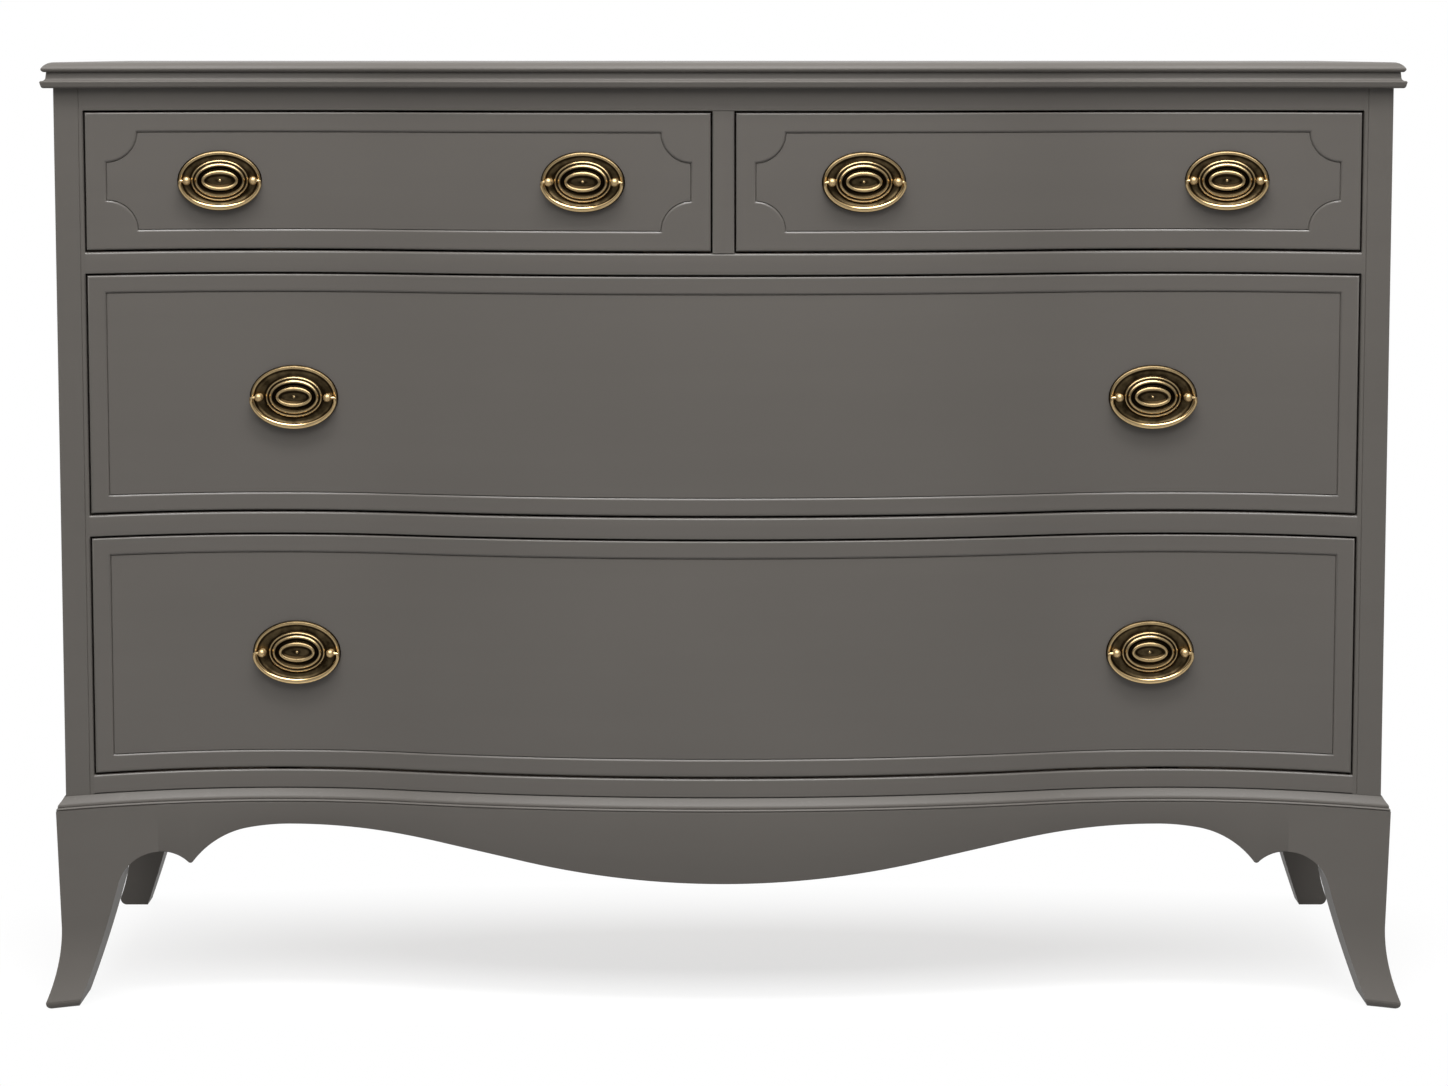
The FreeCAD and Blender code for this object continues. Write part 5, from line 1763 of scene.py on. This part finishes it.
@dataclass(frozen=True)
class Studio:
    """Pale floor, soft light and the camera."""

    camera_lens: float = 105.0
    sensor: float = 36.0
    camera_distance: float = 3.941
    camera_height: float = 0.9033
    camera_pitch: float = 6.658
    camera_side: float = 0.00056
    floor_size: float = 40.0
    horizon: float = 0.16
    zenith: float = 1.0
    horizon_blend: float = 0.3
    floor_tone: float = 0.3
    floor_white: float = 0.9
    floor_glow: float = 0.68
    shadow_reach: tuple[float, float] = (1.25, 0.36)
    shadow_fade: tuple[float, float] = (0.25, 0.95)
    backdrop_line: float = -0.3
    backdrop_blend: float = 0.2
    lamps: tuple[Lamp, ...] = (
        Lamp("soft_lamp", (0.0, -2.5, 2.9), (3.2, 1.8), 68.0),
        Lamp("strip_lamp", (0.0, -1.5, 4.0), (3.0, 0.8), 128.0))

    def camera(self) -> None:
        """Set up the camera at the photograph's viewing angle."""
        data = bpy.data.cameras.new("camera")
        data.lens = self.camera_lens
        data.sensor_width = self.sensor
        data.clip_end = 100.0
        item = bpy.data.objects.new("camera", data)
        item.location = (self.camera_side, LINE.shift() * MM - self.camera_distance,
                         self.camera_height)
        item.rotation_euler = (math.radians(90.0 - self.camera_pitch), 0.0, 0.0)
        bpy.context.scene.collection.objects.link(item)
        bpy.context.scene.camera = item

    def floor(self) -> None:
        """Lay the floor."""
        half = self.floor_size / 2
        mesh = bpy.data.meshes.new("floor")
        mesh.from_pydata([(-half, -half, 0), (half, -half, 0), (half, half, 0), (-half, half, 0)], [],
                         [(0, 1, 2, 3)])
        material = bpy.data.materials.new("floor")
        material.use_nodes = True
        bench = NodeBench(material.node_tree)
        shader = material.node_tree.nodes["Principled BSDF"]
        shader.inputs["Roughness"].default_value = 0.9
        shader.inputs["Specular IOR Level"].default_value = 0.0
        glow = bench.add("ShaderNodeEmission")
        glow.inputs["Color"].default_value = WHITE
        split = bench.add("ShaderNodeSeparateXYZ")
        bench.feed(split.inputs[0], bench.add("ShaderNodeTexCoord").outputs["Object"])
        seen = self.white_rays(bench, bench.remap(split.outputs["Y"],
                                                  self.backdrop_line - self.backdrop_blend,
                                                  self.backdrop_line + self.backdrop_blend))
        bench.feed(shader.inputs["Base Color"], bench.mix(seen, opaque((self.floor_tone,) * 3),
                                                          opaque((self.floor_white,) * 3)))
        across = bench.math("DIVIDE", split.outputs["X"], self.shadow_reach[0])
        along = bench.math("DIVIDE", split.outputs["Y"], self.shadow_reach[1])
        away = bench.math("SQRT", bench.math("ADD", bench.math("MULTIPLY", across, across),
                                             bench.math("MULTIPLY", along, along)))
        shadow = bench.remap(away, *self.shadow_fade, self.floor_glow, 1.0)
        blend = bench.add("ShaderNodeMixShader")
        bench.feed(blend.inputs[0], bench.math("MULTIPLY", seen, shadow))
        bench.feed(blend.inputs[1], shader.outputs[0])
        bench.feed(blend.inputs[2], glow.outputs[0])
        bench.feed(material.node_tree.nodes["Material Output"].inputs["Surface"], blend.outputs[0])
        mesh.materials.append(material)
        item = bpy.data.objects.new("floor", mesh)
        bpy.context.scene.collection.objects.link(item)

    def white_rays(self, bench: NodeBench, behind: Socket) -> Socket:
        """Rays that see the white background rather than the light it gives.

        Args:
            bench: The tree's bench.
            behind: A mask of what lies behind the object.

        Returns:
            A mask of camera rays, and of the glossy and transmission rays that go behind it.
        """
        rays = bench.add("ShaderNodeLightPath")
        shiny = bench.math("MAXIMUM", rays.outputs["Is Glossy Ray"], rays.outputs["Is Transmission Ray"])
        return bench.math("MAXIMUM", rays.outputs["Is Camera Ray"], bench.math("MULTIPLY", shiny, behind))

    def lights(self) -> None:
        """Set the world and the lamps.

        The white backdrop is behind the object, and the room in front is brighter overhead.
        """
        world = bpy.data.worlds.new("studio")
        world.use_nodes = True
        bpy.context.scene.world = world
        bench = NodeBench(world.node_tree)
        split = bench.add("ShaderNodeSeparateXYZ")
        bench.feed(split.inputs[0], bench.add("ShaderNodeTexCoord").outputs["Generated"])
        room = world.node_tree.nodes["Background"]
        room.inputs["Color"].default_value = WHITE
        overhead = bench.remap(split.outputs["Z"], 0.0, 1.0, self.horizon, self.zenith)
        bench.feed(room.inputs["Strength"], overhead)
        white = bench.add("ShaderNodeBackground")
        white.inputs["Color"].default_value = WHITE
        behind = bench.remap(split.outputs["Y"], 0.0, self.horizon_blend)
        blend = bench.add("ShaderNodeMixShader")
        bench.feed(blend.inputs[0], bench.math("MAXIMUM", self.white_rays(bench, behind), behind))
        bench.feed(blend.inputs[1], room.outputs[0])
        bench.feed(blend.inputs[2], white.outputs[0])
        bench.feed(world.node_tree.nodes["World Output"].inputs["Surface"], blend.outputs[0])
        for lamp in self.lamps:
            lamp.hang()

    def build(self) -> None:
        """Set up the floor, the light, the camera and the colour view."""
        self.floor()
        self.lights()
        self.camera()
        bpy.context.scene.view_settings.view_transform = "Standard"


def main() -> None:
    """Build every sub-assembly in order, then the studio."""
    logging.basicConfig(level=logging.INFO)
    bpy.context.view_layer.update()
    palette = Palette(EffectShelf())
    Carcase().build(palette)
    MouldedTop().build(palette)
    BaseMoulding().build(palette)
    Base().build(palette)
    for drawer in DRAWERS:
        drawer.build(palette)
    Studio().build()


if __name__ == "__main__":
    main()
